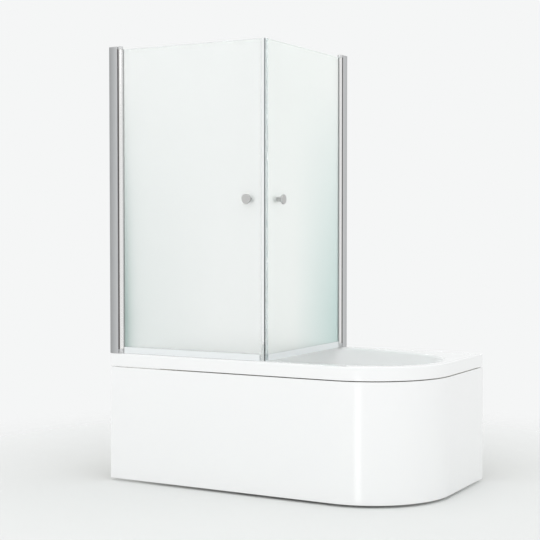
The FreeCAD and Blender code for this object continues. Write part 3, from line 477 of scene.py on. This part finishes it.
def smooth_mesh(mesh, sharp_degrees):
    """Smooth shading that keeps edges sharper than an angle."""
    mesh.shade_smooth()
    mesh.set_sharp_from_angle(angle=math.radians(sharp_degrees))
    return mesh


def loose_object(name, data):
    """An object that holds a mesh, a lamp or a camera."""
    obj = bpy.data.objects.new(name, data)
    bpy.context.scene.collection.objects.link(obj)
    return obj


def piece(name, mesh, slot, body, node):
    """An object at the origin with its place in its mesh, dressed, riding on its body, in place of a node."""
    obj = loose_object(name, mesh)
    mesh.materials.clear()
    mesh.materials.append(finishes[slot])
    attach(obj, body)
    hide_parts(node)
    return obj


def even_normals(obj):
    """Lets a flat face stay flat to the eye right up to the small round along its edge."""
    even = obj.modifiers.new("even_normals", "WEIGHTED_NORMAL")
    even.keep_sharp = True
    even.weight = flat_face_weight


def mesh_from(points, faces, name):
    mesh = bpy.data.meshes.new(name)
    mesh.from_pydata([tuple(p) for p in points], [], faces)
    mesh.validate()
    return mesh


def mesh_of(form, name):
    """Mesh of a bmesh, which is freed."""
    mesh = bpy.data.meshes.new(name)
    form.to_mesh(mesh)
    form.free()
    return mesh


def merged(mesh, outwards):
    """The mesh with its doubles merged and, where asked, its faces turned outwards."""
    form = bmesh.new()
    form.from_mesh(mesh)
    bmesh.ops.remove_doubles(form, verts=form.verts, dist=seam_gap)
    if outwards:
        bmesh.ops.recalc_face_normals(form, faces=form.faces)
    form.to_mesh(mesh)
    form.free()
    return mesh


def applied(obj):
    """The object's mesh with its modifiers worked in; the object is removed."""
    seen = obj.evaluated_get(bpy.context.evaluated_depsgraph_get())
    mesh = bpy.data.meshes.new_from_object(seen)
    bpy.data.objects.remove(obj)
    return mesh


def turned_to(direction):
    """The turn that brings Z to a direction."""
    return direction.to_track_quat("Z", "Y").to_matrix().to_4x4()


def round_cutter(name, centre, radius, direction, length):
    """Closed cylinder about an axis, to cut a hole with."""
    form = bmesh.new()
    bmesh.ops.create_cone(form, cap_ends=True, segments=hole_segments, radius1=radius, radius2=radius,
                          depth=length)
    bmesh.ops.transform(form, matrix=Matrix.Translation(centre) @ turned_to(direction), verts=form.verts)
    return loose_object(name, mesh_of(form, name))


def box_cutter(name, centre, size):
    """Closed box, to cut a groove or a recess with."""
    form = bmesh.new()
    bmesh.ops.create_cube(form, size=1.0)
    bmesh.ops.scale(form, vec=size, verts=form.verts)
    bmesh.ops.translate(form, vec=centre, verts=form.verts)
    return loose_object(name, mesh_of(form, name))


def cut_by(obj, cutters):
    """The object's mesh with the cutters taken out of it; the object and its cutters are removed."""
    for cutter in cutters:
        cut = obj.modifiers.new(cutter.name, "BOOLEAN")
        cut.object = cutter
        cut.solver = "EXACT"
    mesh = applied(obj)
    for cutter in cutters:
        bpy.data.objects.remove(cutter)
    return mesh


def quarter(steps):
    """Angles of a quarter turn in equal steps."""
    return [step / steps * math.pi / 2 for step in range(steps + 1)]


def band(start, above, count):
    """Faces between two closed rows of points."""
    ahead = [(i + 1) % count for i in range(count)]
    return [(start + i, start + j, above + j, above + i) for i, j in enumerate(ahead)]


# Bath shell: rings of points from the basin's floor over the rim and back under it

def corner_points(x, y, inward, radius, start_degrees, steps):
    """Points of a rounded corner, from the square corner that it rounds off."""
    centre = Vector((x + inward[0] * radius, y + inward[1] * radius))
    angles = [math.radians(start_degrees + 90 * i / steps) for i in range(steps + 1)]
    return [centre + radius * Vector((math.cos(a), math.sin(a))) for a in angles]


def rim_outline(inset):
    """The bath's outline from above, drawn in by an inset, with the same count of points for each."""
    low = Vector((bath_low.x + inset, bath_low.y + inset))
    high = Vector((bath_high.x - inset, bath_high.y - inset))
    small = max(wall_corner_radius - inset, least_corner_radius)
    corners = [
        corner_points(low.x, low.y, (1, 1), small, 180, small_corner_steps),
        corner_points(high.x, low.y, (-1, 1), corner_radius - inset, 270, big_corner_steps),
        corner_points(high.x, high.y, (-1, -1), small, 0, small_corner_steps),
        corner_points(low.x, high.y, (1, -1), small, 90, small_corner_steps),
    ]
    lengths = (bath_high.x - bath_low.x - corner_radius, bath_high.y - bath_low.y - corner_radius,
               bath_high.x - bath_low.x, bath_high.y - bath_low.y)
    outline = []
    for index, corner in enumerate(corners):
        outline += corner
        following = corners[(index + 1) % len(corners)][0]
        count = round(lengths[index] / outline_step)
        outline += [corner[-1].lerp(following, i / count) for i in range(1, count)]
    return outline


def basin_centre(skin, height, inset):
    """Centre and half sizes of the basin's outline at a height, grown by a skin and drawn in by an inset."""
    drop = (rim_height - height) / basin_depth
    x_left = bath_low.x + left_rim + left_run * drop + inset - skin
    x_right = bath_high.x - right_rim - right_run * drop - inset + skin
    y_front = bath_low.y + front_rim + side_run * drop + inset - skin
    y_back = bath_high.y - back_rim - side_run * drop - inset + skin
    centre_x = x_left + widest_share * (x_right - x_left)
    return centre_x, centre_x - x_left, x_right - centre_x, basin_middle - y_front, y_back - basin_middle


def basin_ring(angles, skin, height, inset=0.0):
    """Egg-shaped outline of the basin: four quarters, each with its own fullness."""
    centre_x, left, right, front, back = basin_centre(skin, height, inset)
    ring = []
    for angle in angles:
        across, along = math.cos(angle), math.sin(angle)
        half_x = right if across >= 0 else left
        half_y = back if along >= 0 else front
        if along >= 0:
            power = back_right_power if across >= 0 else back_left_power
        else:
            power = front_right_power if across >= 0 else front_left_power
        spread = abs(across / half_x) ** power + abs(along / half_y) ** power
        radius = spread ** (-1 / power)
        ring.append(Vector((centre_x + radius * across, basin_middle + radius * along, height)))
    return ring


def basin_bowl(angles, skin, top):
    """Rings of the basin's wall from its floor to a height: the floor's round first, then the wall."""
    wall_low = basin_floor + floor_round
    radius = floor_round + skin
    rings = []
    for angle in quarter(round_rings)[:0:-1]:
        rings.append(basin_ring(angles, skin, wall_low - radius * math.sin(angle),
                                radius * (1 - math.cos(angle))))
    for step in range(wall_rings + 1):
        rings.append(basin_ring(angles, skin, wall_low + step / wall_rings * (top - wall_low)))
    return rings


def lip(angles):
    """Rings of the round from the basin's wall out onto the rim."""
    rings = []
    for angle in quarter(lip_rings)[1:]:
        rings.append(basin_ring(angles, lip_round * (1 - math.cos(angle)),
                                rim_height - lip_round * (1 - math.sin(angle))))
    return rings


def rim_edge():
    """Rings from the rim's flat over its rounded edge, down the skirt and up inside it."""
    rings = []
    for angle in quarter(edge_rings):
        rings.append((rim_edge_round * (1 - math.sin(angle)),
                      rim_height - rim_edge_round * (1 - math.cos(angle))))
    foot = skirt_edge_round
    mid = foot * mid_round_share
    rings += [(0.0, skirt_low + foot), (mid, skirt_low + mid), (foot, skirt_low),
              (skirt_thickness - foot, skirt_low), (skirt_thickness, skirt_low + foot),
              (skirt_thickness, rim_height - rim_thickness)]
    return [[Vector((p.x, p.y, z)) for p in rim_outline(inset)] for inset, z in rings]


def bath_mesh():
    """Closed shell of the bath; an attribute marks the back of the sheet for its finish."""
    centre_x = basin_centre(0.0, rim_height, 0.0)[0]
    angles = [math.atan2(p.y - basin_middle, p.x - centre_x) for p in rim_outline(0.0)]
    face = basin_bowl(angles, 0.0, rim_height - lip_round) + lip(angles) + rim_edge()
    back = [face.pop()] + basin_bowl(angles, shell_wall, rim_height - rim_thickness)[::-1]
    rings = face + back
    count = len(angles)
    points = [p for ring in rings for p in ring]
    faces = [tuple(range(count))[::-1]]
    for index in range(len(rings) - 1):
        faces += band(index * count, (index + 1) * count, count)
    faces.append(tuple(range((len(rings) - 1) * count, len(rings) * count)))
    mesh = mesh_from(points, faces, "bath")
    backing = mesh.attributes.new("backing", "FLOAT", "POINT")
    backing.data.foreach_set("value", [0.0] * (len(face) * count) + [1.0] * (len(back) * count))
    return merged(mesh, outwards=True)


def make_bath():
    """Bath with the holes for its waste and its overflow cut through the basin."""
    waste_low, waste_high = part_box("waste_flange")
    gasket_low, gasket_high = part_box("overflow_gasket")
    wall_lean = math.atan2(left_run, basin_depth)
    cutters = [
        round_cutter("waste_cutter", (waste_low + waste_high) / 2, waste_hole_radius,
                     Vector((0, 0, 1)), waste_cut),
        round_cutter("overflow_cutter", (gasket_low + gasket_high) / 2, overflow_hole_radius,
                     Vector((math.cos(wall_lean), 0, math.sin(wall_lean))), overflow_cut),
    ]
    mesh = cut_by(loose_object("bath_blank", bath_mesh()), cutters)
    even_normals(piece("bath", smooth_mesh(mesh, bath_sharp), "white_acrylic", "bath", "bath_shell"))


# Geometry trees

def new_tree(name, inputs):
    """Geometry tree with named inputs and a finish; gives the tree and its input node."""
    tree = bpy.data.node_groups.new(name, "GeometryNodeTree")
    for label, kind in [("Geometry", "Geometry"), *inputs, ("Finish", "Material")]:
        tree.interface.new_socket(label, in_out="INPUT", socket_type="NodeSocket" + kind)
    tree.interface.new_socket("Geometry", in_out="OUTPUT", socket_type="NodeSocketGeometry")
    return tree, add_node(tree, "NodeGroupInput")


def end_tree(tree, given, geometry):
    """Ends a tree in a plain mesh that wears its finish."""
    plain = add_node(tree, "GeometryNodeRealizeInstances", {"Geometry": geometry})
    dressed = add_node(tree, "GeometryNodeSetMaterial", {"Geometry": plain.outputs["Geometry"],
                                                         "Material": given.outputs["Finish"]})
    add_node(tree, "NodeGroupOutput", {"Geometry": dressed.outputs["Geometry"]})
    return tree


def grown(tree, base, values):
    """Plain mesh that a tree makes from a base mesh and its inputs' values."""
    obj = loose_object(tree.name + "_base", base)
    modifier = obj.modifiers.new(tree.name, "NODES")
    modifier.node_group = tree
    for item in tree.interface.items_tree:
        if item.name in values:
            modifier[item.identifier] = values[item.name]
    return applied(obj)


def line_mesh(points, closed=False):
    """Mesh of a line through points."""
    mesh = bpy.data.meshes.new("line")
    edges = [(i, i + 1) for i in range(len(points) - 1)]
    if closed:
        edges.append((len(points) - 1, 0))
    mesh.from_pydata([tuple(p) for p in points], edges, [])
    return mesh


def swept_strip_tree():
    """A section carried along a level path, with its ends closed."""
    tree, given = new_tree("swept_strip", [("Section", "Object")])
    path = add_node(tree, "GeometryNodeMeshToCurve", {"Mesh": given.outputs["Geometry"]})
    upright = add_node(tree, "GeometryNodeSetCurveNormal", {"Curve": path.outputs["Curve"]}, mode="Z_UP")
    drawn = add_node(tree, "GeometryNodeObjectInfo", {"Object": given.outputs["Section"]})
    section = add_node(tree, "GeometryNodeMeshToCurve", {"Mesh": drawn.outputs["Geometry"]})
    strip = add_node(tree, "GeometryNodeCurveToMesh", {
        "Curve": upright.outputs["Curve"], "Profile Curve": section.outputs["Curve"], "Fill Caps": True})
    return end_tree(tree, given, strip.outputs["Mesh"])


def rounded_run(corners, steps):
    """Closed outline through (x, y, radius) corners, each rounded by its own radius."""
    outline = []
    for index, (x, y, radius) in enumerate(corners):
        here = Vector((x, y))
        before = Vector(corners[index - 1][:2]) - here
        after = Vector(corners[(index + 1) % len(corners)][:2]) - here
        if radius <= 0:
            outline.append(here)
            continue
        start, end = here + before.normalized() * radius, here + after.normalized() * radius
        centre = start + end - here
        for angle in quarter(steps):
            outline.append(centre + (start - centre) * math.cos(angle) + (end - centre) * math.sin(angle))
    return outline


def panel_path():
    """Line of the panel's outer face, from the left wall round the corner to the back wall."""
    arc = corner_points(bath_high.x, bath_low.y, (-1, 1), corner_radius, 270, big_corner_steps)
    points = [Vector((panel_low.x, panel_low.y))] + arc + [Vector((panel_high.x, panel_high.y))]
    return [Vector((p.x, p.y, 0.0)) for p in points]


def make_panel():
    """The panel's section is a channel: its face, and a flange turned in at the head and the foot."""
    low, high, wall, deep = panel_low.z, panel_high.z, panel_thickness, panel_flange
    soft = panel_edge_round
    section = rounded_run([(0, low, soft), (deep, low, 0), (deep, low + wall, 0), (wall, low + wall, 0),
                           (wall, high - wall, 0), (deep, high - wall, 0), (deep, high, 0),
                           (0, high, soft)], panel_edge_steps)
    drawn = loose_object("panel_section", line_mesh([Vector((-p.x, -p.y, 0)) for p in section], closed=True))
    mesh = grown(swept_strip_tree(), line_mesh(panel_path()), {"Section": drawn,
                                                               "Finish": finishes["white_acrylic"]})
    bpy.data.objects.remove(drawn)
    smooth_mesh(merged(mesh, outwards=True), panel_sharp)
    even_normals(piece("apron", mesh, "white_acrylic", "front_panel", "front_panel"))


# Small hardware: each is made once and set out at its places

def turned_mesh(profile, segments, name):
    """Closed form turned about Z, from (radius, height) points that start and end on the axis."""
    points, faces, rows = [], [], []
    for radius, height in profile:
        steps = segments if radius > 0 else 1
        rows.append([len(points) + i for i in range(steps)])
        for i in range(steps):
            angle = 2 * math.pi * i / segments
            points.append((radius * math.cos(angle), radius * math.sin(angle), height))
    for lower, upper in zip(rows, rows[1:]):
        for i in range(segments):
            places = ((lower, i), (lower, i + 1), (upper, i + 1), (upper, i))
            corners = [row[place % len(row)] for row, place in places]
            faces.append(tuple(dict.fromkeys(corners)))
    return mesh_from(points, faces, name)


def set_out_tree():
    """One piece repeated at each point of a mesh."""
    tree, given = new_tree("set_out", [("Piece", "Object")])
    item = add_node(tree, "GeometryNodeObjectInfo", {"Object": given.outputs["Piece"]})
    copies = add_node(tree, "GeometryNodeInstanceOnPoints", {"Points": given.outputs["Geometry"],
                                                             "Instance": item.outputs["Geometry"]})
    return end_tree(tree, given, copies.outputs["Instances"])


def set_out(item, places):
    """Mesh of a plated steel item repeated at its places; the item itself is removed."""
    mesh = grown(set_out_tree(), mesh_from(places, [], item.name + "_places"), {
        "Piece": item, "Finish": finishes["zinc_steel"]})
    bpy.data.objects.remove(item)
    return mesh


def threaded_studs_tree():
    """A bar with a screw thread wound round it, standing on each point of a mesh."""
    tree, given = new_tree("threaded_studs", [
        (label, "Float") for label in ("Core Radius", "Thread Depth", "Pitch", "Length")])
    radius, length = given.outputs["Core Radius"], given.outputs["Length"]
    turns = add_node(tree, "ShaderNodeMath", {0: length, 1: given.outputs["Pitch"]}, operation="DIVIDE")
    helix = add_node(tree, "GeometryNodeCurveSpiral", {
        "Resolution": thread_turn_points, "Rotations": turns.outputs["Value"],
        "Start Radius": radius, "End Radius": radius, "Height": length})
    ridge = add_node(tree, "GeometryNodeCurvePrimitiveCircle", {
        "Resolution": thread_ridge_points, "Radius": given.outputs["Thread Depth"]})
    thread = add_node(tree, "GeometryNodeCurveToMesh", {
        "Curve": helix.outputs["Curve"], "Profile Curve": ridge.outputs["Curve"], "Fill Caps": True})
    core = add_node(tree, "GeometryNodeMeshCylinder", {
        "Vertices": stud_segments, "Radius": radius, "Depth": length})
    half = add_node(tree, "ShaderNodeMath", {0: length, 1: 0.5}, operation="MULTIPLY")
    lift = add_node(tree, "ShaderNodeCombineXYZ", {"Z": half.outputs["Value"]})
    raised = add_node(tree, "GeometryNodeTransform", {"Geometry": core.outputs["Mesh"],
                                                      "Translation": lift.outputs["Vector"]})
    bar = add_node(tree, "GeometryNodeJoinGeometry")
    tree.links.new(thread.outputs["Mesh"], bar.inputs["Geometry"])
    tree.links.new(raised.outputs["Geometry"], bar.inputs["Geometry"])
    copies = add_node(tree, "GeometryNodeInstanceOnPoints", {"Points": given.outputs["Geometry"],
                                                             "Instance": bar.outputs["Geometry"]})
    return end_tree(tree, given, copies.outputs["Instances"])


def foot_points(height):
    """Points over the middles of the six feet, at a height."""
    low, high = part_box("foot_pads")
    across = (low.x + pad_radius, (low.x + high.x) / 2, high.x - pad_radius)
    along = (low.y + pad_radius, high.y - pad_radius)
    return [Vector((x, y, height)) for x in across for y in along]


def make_studs():
    """Threaded studs of the levelling feet."""
    low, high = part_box("foot_studs")
    mesh = grown(threaded_studs_tree(), mesh_from(foot_points(low.z), [], "feet"), {
        "Core Radius": stud_radius - thread_depth, "Thread Depth": thread_depth, "Pitch": thread_pitch,
        "Length": high.z - low.z, "Finish": finishes["zinc_steel"]})
    piece("levelling_studs", smooth_mesh(mesh, stud_sharp), "zinc_steel", "bath", "foot_studs")


def hex_reach(angle, radius):
    """Distance out to a hexagon's outline in a direction, with a corner on X."""
    from_middle = (angle % (math.pi / 3)) - math.pi / 6
    return radius * math.cos(math.pi / 6) / math.cos(from_middle)


def nut_mesh():
    """Hexagon nut with its corners chamfered by a cone, and its bore."""
    count = 6 * nut_side_points
    flat_radius = nut_radius * math.cos(math.pi / 6)
    rows = [(stud_radius, 0.0, False), (flat_radius, 0.0, False), (nut_radius, nut_chamfer, True),
            (nut_radius, nut_height - nut_chamfer, True), (flat_radius, nut_height, False),
            (stud_radius, nut_height, False)]
    points, faces = [], []
    for radius, height, hexagonal in rows:
        for i in range(count):
            angle = 2 * math.pi * i / count
            reach = hex_reach(angle, radius) if hexagonal else radius
            points.append((reach * math.cos(angle), reach * math.sin(angle), height))
    for row in range(len(rows)):
        faces += band(row * count, (row + 1) % len(rows) * count, count)
    return mesh_from(points, faces, "nut")


def make_nuts():
    """Two nuts on each stud, one under and one over the rail."""
    low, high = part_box("foot_nuts")
    places = foot_points(low.z) + foot_points(high.z - nut_height)
    mesh = set_out(loose_object("nut", nut_mesh()), places)
    piece("levelling_nuts", smooth_mesh(mesh, nut_sharp), "zinc_steel", "bath", "foot_nuts")


def screw_object(direction, length):
    """Pan-head screw with a cross recess; its head's top is at zero and its tip points against direction."""
    head = screw_head_radius
    dome = [(head * math.cos(a), -screw_head_height * (1 - math.sin(a)) * screw_dome_share)
            for a in quarter(screw_dome_steps)]
    side = [(head, -screw_head_height), (screw_shank_radius, -screw_head_height),
            (screw_shank_radius, -length + screw_shank_radius), (0.0, -length)]
    screw = loose_object("screw", turned_mesh([(0.0, 0.0)] + dome[-2::-1] + side, screw_segments, "screw"))
    cutters = [box_cutter("recess", Vector(), (2 * long, 2 * wide, 2 * recess_depth))
               for long, wide in ((recess_arm, recess_width), (recess_width, recess_arm))]
    mesh = cut_by(screw, cutters)
    mesh.transform(turned_to(direction))
    return loose_object("screw", smooth_mesh(mesh, screw_sharp))


def make_screws(node, direction):
    """Three screws up a wall profile, each with its head towards the shower."""
    low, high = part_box(node)
    length = abs((high - low).dot(direction))
    top = (low + high) / 2 + direction * length / 2
    heights = (low.z + screw_head_radius, (low.z + high.z) / 2, high.z - screw_head_radius)
    places = [Vector((top.x, top.y, height)) for height in heights]
    mesh = set_out(screw_object(direction, length), places)
    piece(node + "_set", mesh, "zinc_steel", "bath", node)


def make_plug():
    """Domed plug on its stem, with the brim's edge rounded off."""
    low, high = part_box("waste_plug")
    radius = (high.x - low.x) / 2
    brim = high.z - low.z - plug_crown
    under = brim - plug_edge
    sphere = (radius ** 2 + plug_crown ** 2) / (2 * plug_crown)
    shoulder = radius - plug_edge_round
    profile = [(0.0, 0.0), (plug_stem_radius, 0.0), (plug_stem_radius, under), (shoulder, under)]
    for angle in quarter(plug_edge_steps)[1:]:
        profile.append((shoulder + plug_edge_round * math.sin(angle),
                        under + plug_edge_round * (1 - math.cos(angle))))
    for step in range(plug_dome_steps):
        reach = radius * (1 - step / plug_dome_steps)
        profile.append((reach, brim + plug_crown - sphere + math.sqrt(sphere ** 2 - reach ** 2)))
    mesh = turned_mesh(profile + [(0.0, brim + plug_crown)], plug_segments, "plug")
    mesh.transform(Matrix.Translation(Vector(((low.x + high.x) / 2, (low.y + high.y) / 2, low.z))))
    piece("waste_plug_turned", smooth_mesh(mesh, plug_sharp), "chrome", "waste_plug", "waste_plug")


def make_pivot_blocks(node, along, across):
    """Pivot blocks with a groove up each face, where the seal's shadow line runs on past the door's post."""
    low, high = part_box(node)
    profile_low, profile_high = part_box(node.replace("pivot_blocks", "wall_profile"))
    profile_reach = abs((profile_high - profile_low).dot(along)) / 2
    middle = (profile_low + profile_high) / 2 + along * (profile_reach + groove_width / 2)
    middle.z = (low.z + high.z) / 2
    size = Vector([abs(a) * groove_width + abs(b) * groove_depth * 2 for a, b in zip(along, across)])
    size.z = high.z - low.z + groove_overrun
    grooves = [box_cutter("groove", middle + across * face * block_half_width, size) for face in (-1, 1)]
    block = loose_object(node + "_blank", merged(nodes[node].data.copy(), outwards=False))
    mesh = smooth_mesh(cut_by(block, grooves), block_sharp)
    piece(node + "_grooved", mesh, "grey_plastic", "bath", node)


def knob_profile(length, head_radius, neck_radius, neck_length, rim_depth, edge_round):
    """Half section of a knob from its seat on the glass: a neck that flares into a rounded head."""
    flare_length = length - rim_depth - neck_length
    points = [(0.0, 0.0), (neck_radius, 0.0)]
    for angle in quarter(knob_flare_steps):
        points.append((neck_radius + (head_radius - neck_radius) * (1 - math.cos(angle)),
                       neck_length + flare_length * math.sin(angle)))
    for angle in quarter(knob_edge_steps):
        points.append((head_radius - edge_round * (1 - math.cos(angle)),
                       length - edge_round * (1 - math.sin(angle))))
    return points + [(0.0, length)]


def make_knob(door, side, outward, slot, sizes):
    """Knob on one side of a door's glass."""
    node = f"{door}_{side}_knob"
    low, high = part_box(node)
    seat = (low + high) / 2 - outward * sizes["length"] / 2
    mesh = turned_mesh(knob_profile(**sizes), knob_segments, node)
    mesh.transform(Matrix.Translation(seat) @ turned_to(outward))
    even_normals(piece(node + "_turned", smooth_mesh(mesh, knob_sharp), slot, door, node))


make_bath()
make_panel()
for door, outward in (("front_door", Vector((0, -1, 0))), ("side_door", Vector((1, 0, 0)))):
    make_knob(door, "outer", outward, "satin_metal", outer_knob_sizes)
    make_knob(door, "inner", -outward, "white_plastic", inner_knob_sizes)
make_plug()
make_studs()
make_nuts()
make_pivot_blocks("left_pivot_blocks", Vector((1, 0, 0)), Vector((0, 1, 0)))
make_pivot_blocks("back_pivot_blocks", Vector((0, -1, 0)), Vector((1, 0, 0)))
make_screws("left_jamb_screws", Vector((0, 1, 0)))
make_screws("back_jamb_screws", Vector((-1, 0, 0)))


# Camera at the photograph's viewpoint

camera_from_corner = Vector((3.40507, -4.65230, 1.16461))
camera_place = Vector((bath_low.x, bath_low.y, 0.0)) + camera_from_corner
camera_turn = math.radians(28.923)
camera_dip = math.radians(2.008)
image_pixels = 540
focal_pixels = 1254.81
sensor_width = 36.0


# Studio: pale floor, soft light and a plain white surround

floor_reach = 2.6
floor_fade = 0.95
floor_segments = 96
surround_colour = "F5F6F6"
fuller_side = Vector((0.64, -0.66, 0.39))
level_behind, level_ahead = 0.70, 1.05
lamp_size = 3.0
key_watts, top_watts = 30, 12

# Card of light: where on the round corner its glint shows, how wide, and how far the card reaches
glint_turn = 18.0
glint_spread = 4.2
card_lift = 0.004
card_near, card_far = 0.10, 4.2
card_level = 2.2


def studio_floor():
    """Pale floor that keeps the shadow near the object and fades into the surround further out."""
    form = bmesh.new()
    bmesh.ops.create_circle(form, cap_ends=True, segments=floor_segments, radius=floor_reach)
    obj = loose_object("floor", mesh_of(form, "floor"))
    material, tree, shader = finish_of("floor_paint", "E9EBEA", {"Roughness": 0.9, "Specular IOR Level": 0.0})
    place = add_node(tree, "ShaderNodeTexCoord")
    distance = add_node(tree, "ShaderNodeVectorMath", {0: place.outputs["Object"]}, operation="LENGTH")
    fade = add_node(tree, "ShaderNodeMapRange", {
        "Value": distance.outputs["Value"], "From Min": floor_fade, "From Max": floor_reach},
        interpolation_type="SMOOTHSTEP")
    clear = add_node(tree, "ShaderNodeBsdfTransparent")
    mixed = add_node(tree, "ShaderNodeMixShader", {0: fade.outputs["Result"], 1: shader.outputs["BSDF"],
                                                   2: clear.outputs["BSDF"]})
    tree.links.new(mixed.outputs["Shader"], tree.nodes["Material Output"].inputs["Surface"])
    obj.data.materials.append(material)


def studio_world():
    """White for what the camera, gloss and glass see; its light is fuller in front and softer behind."""
    world = bpy.data.worlds.new("surround")
    bpy.context.scene.world = world
    world.use_nodes = True
    tree = world.node_tree
    shown = tree.nodes["Background"]
    shown.inputs["Color"].default_value = linear(surround_colour)
    shown.inputs["Strength"].default_value = 1.0
    place = add_node(tree, "ShaderNodeTexCoord")
    facing = add_node(tree, "ShaderNodeVectorMath", {0: place.outputs["Generated"], 1: fuller_side},
                      operation="DOT_PRODUCT")
    level = add_node(tree, "ShaderNodeMapRange", {"Value": facing.outputs["Value"], "From Min": -1.0,
                                                  "To Min": level_behind, "To Max": level_ahead})
    light = add_node(tree, "ShaderNodeBackground", {"Color": linear("FFFFFF"),
                                                    "Strength": level.outputs["Result"]})
    rays = add_node(tree, "ShaderNodeLightPath")
    seen = rays.outputs["Is Camera Ray"]
    for ray in ("Is Glossy Ray", "Is Transmission Ray"):
        either = add_node(tree, "ShaderNodeMath", {0: seen, 1: rays.outputs[ray]}, operation="MAXIMUM")
        seen = either.outputs["Value"]
    mixed = add_node(tree, "ShaderNodeMixShader", {0: seen, 1: light.outputs["Background"],
                                                   2: shown.outputs["Background"]})
    tree.links.new(mixed.outputs["Shader"], tree.nodes["World Output"].inputs["Surface"])


def light_card():
    """Bright strip on the floor that only gloss sees: it draws the upright glint on the round corner."""
    turn = math.radians(glint_turn)
    outward = Vector((math.sin(turn), -math.cos(turn), 0.0))
    start = Vector((corner_centre.x, corner_centre.y, card_lift)) + corner_radius * outward
    sight = camera_place - start
    away = 2 * turn - math.atan2(sight.x, -sight.y)
    run = Vector((math.sin(away), -math.cos(away), 0.0))
    side = Vector((-run.y, run.x, 0.0))
    corners = []
    for reach in (card_near, card_far):
        half = math.tan(math.radians(glint_spread)) * (reach + corner_radius / 2)
        corners += [start + run * reach - side * half, start + run * reach + side * half]
    card = loose_object("light_card", mesh_from(corners, [(0, 1, 3, 2)], "light_card"))
    glow = {"Emission Color": linear("FFFFFF"), "Emission Strength": card_level}
    card.data.materials.append(finish_of("light_card", "FFFFFF", glow)[0])
    card.visible_camera = card.visible_diffuse = card.visible_transmission = card.visible_shadow = False


def soft_lamp(name, place, aim, watts):
    """Square lamp that faces a point."""
    lamp = bpy.data.lights.new(name, "AREA")
    lamp.size, lamp.energy = lamp_size, watts
    obj = loose_object(name, lamp)
    obj.location = place
    obj.rotation_euler = (Vector(aim) - Vector(place)).to_track_quat("-Z", "Y").to_euler()


studio_floor()
studio_world()
light_card()
soft_lamp("key", place=(0.6, -3.8, 3.6), aim=(0.0, 0.0, 0.6), watts=key_watts)
soft_lamp("top", place=(0.3, 0.4, 4.6), aim=(0.1, 0.0, 0.5), watts=top_watts)

camera = loose_object("camera", bpy.data.cameras.new("camera"))
camera.location = camera_place
camera.rotation_euler = (math.pi / 2 - camera_dip, 0.0, camera_turn)
camera.data.sensor_width = sensor_width
camera.data.lens = sensor_width * focal_pixels / image_pixels
bpy.context.scene.camera = camera
bpy.context.scene.view_settings.view_transform = "Standard"
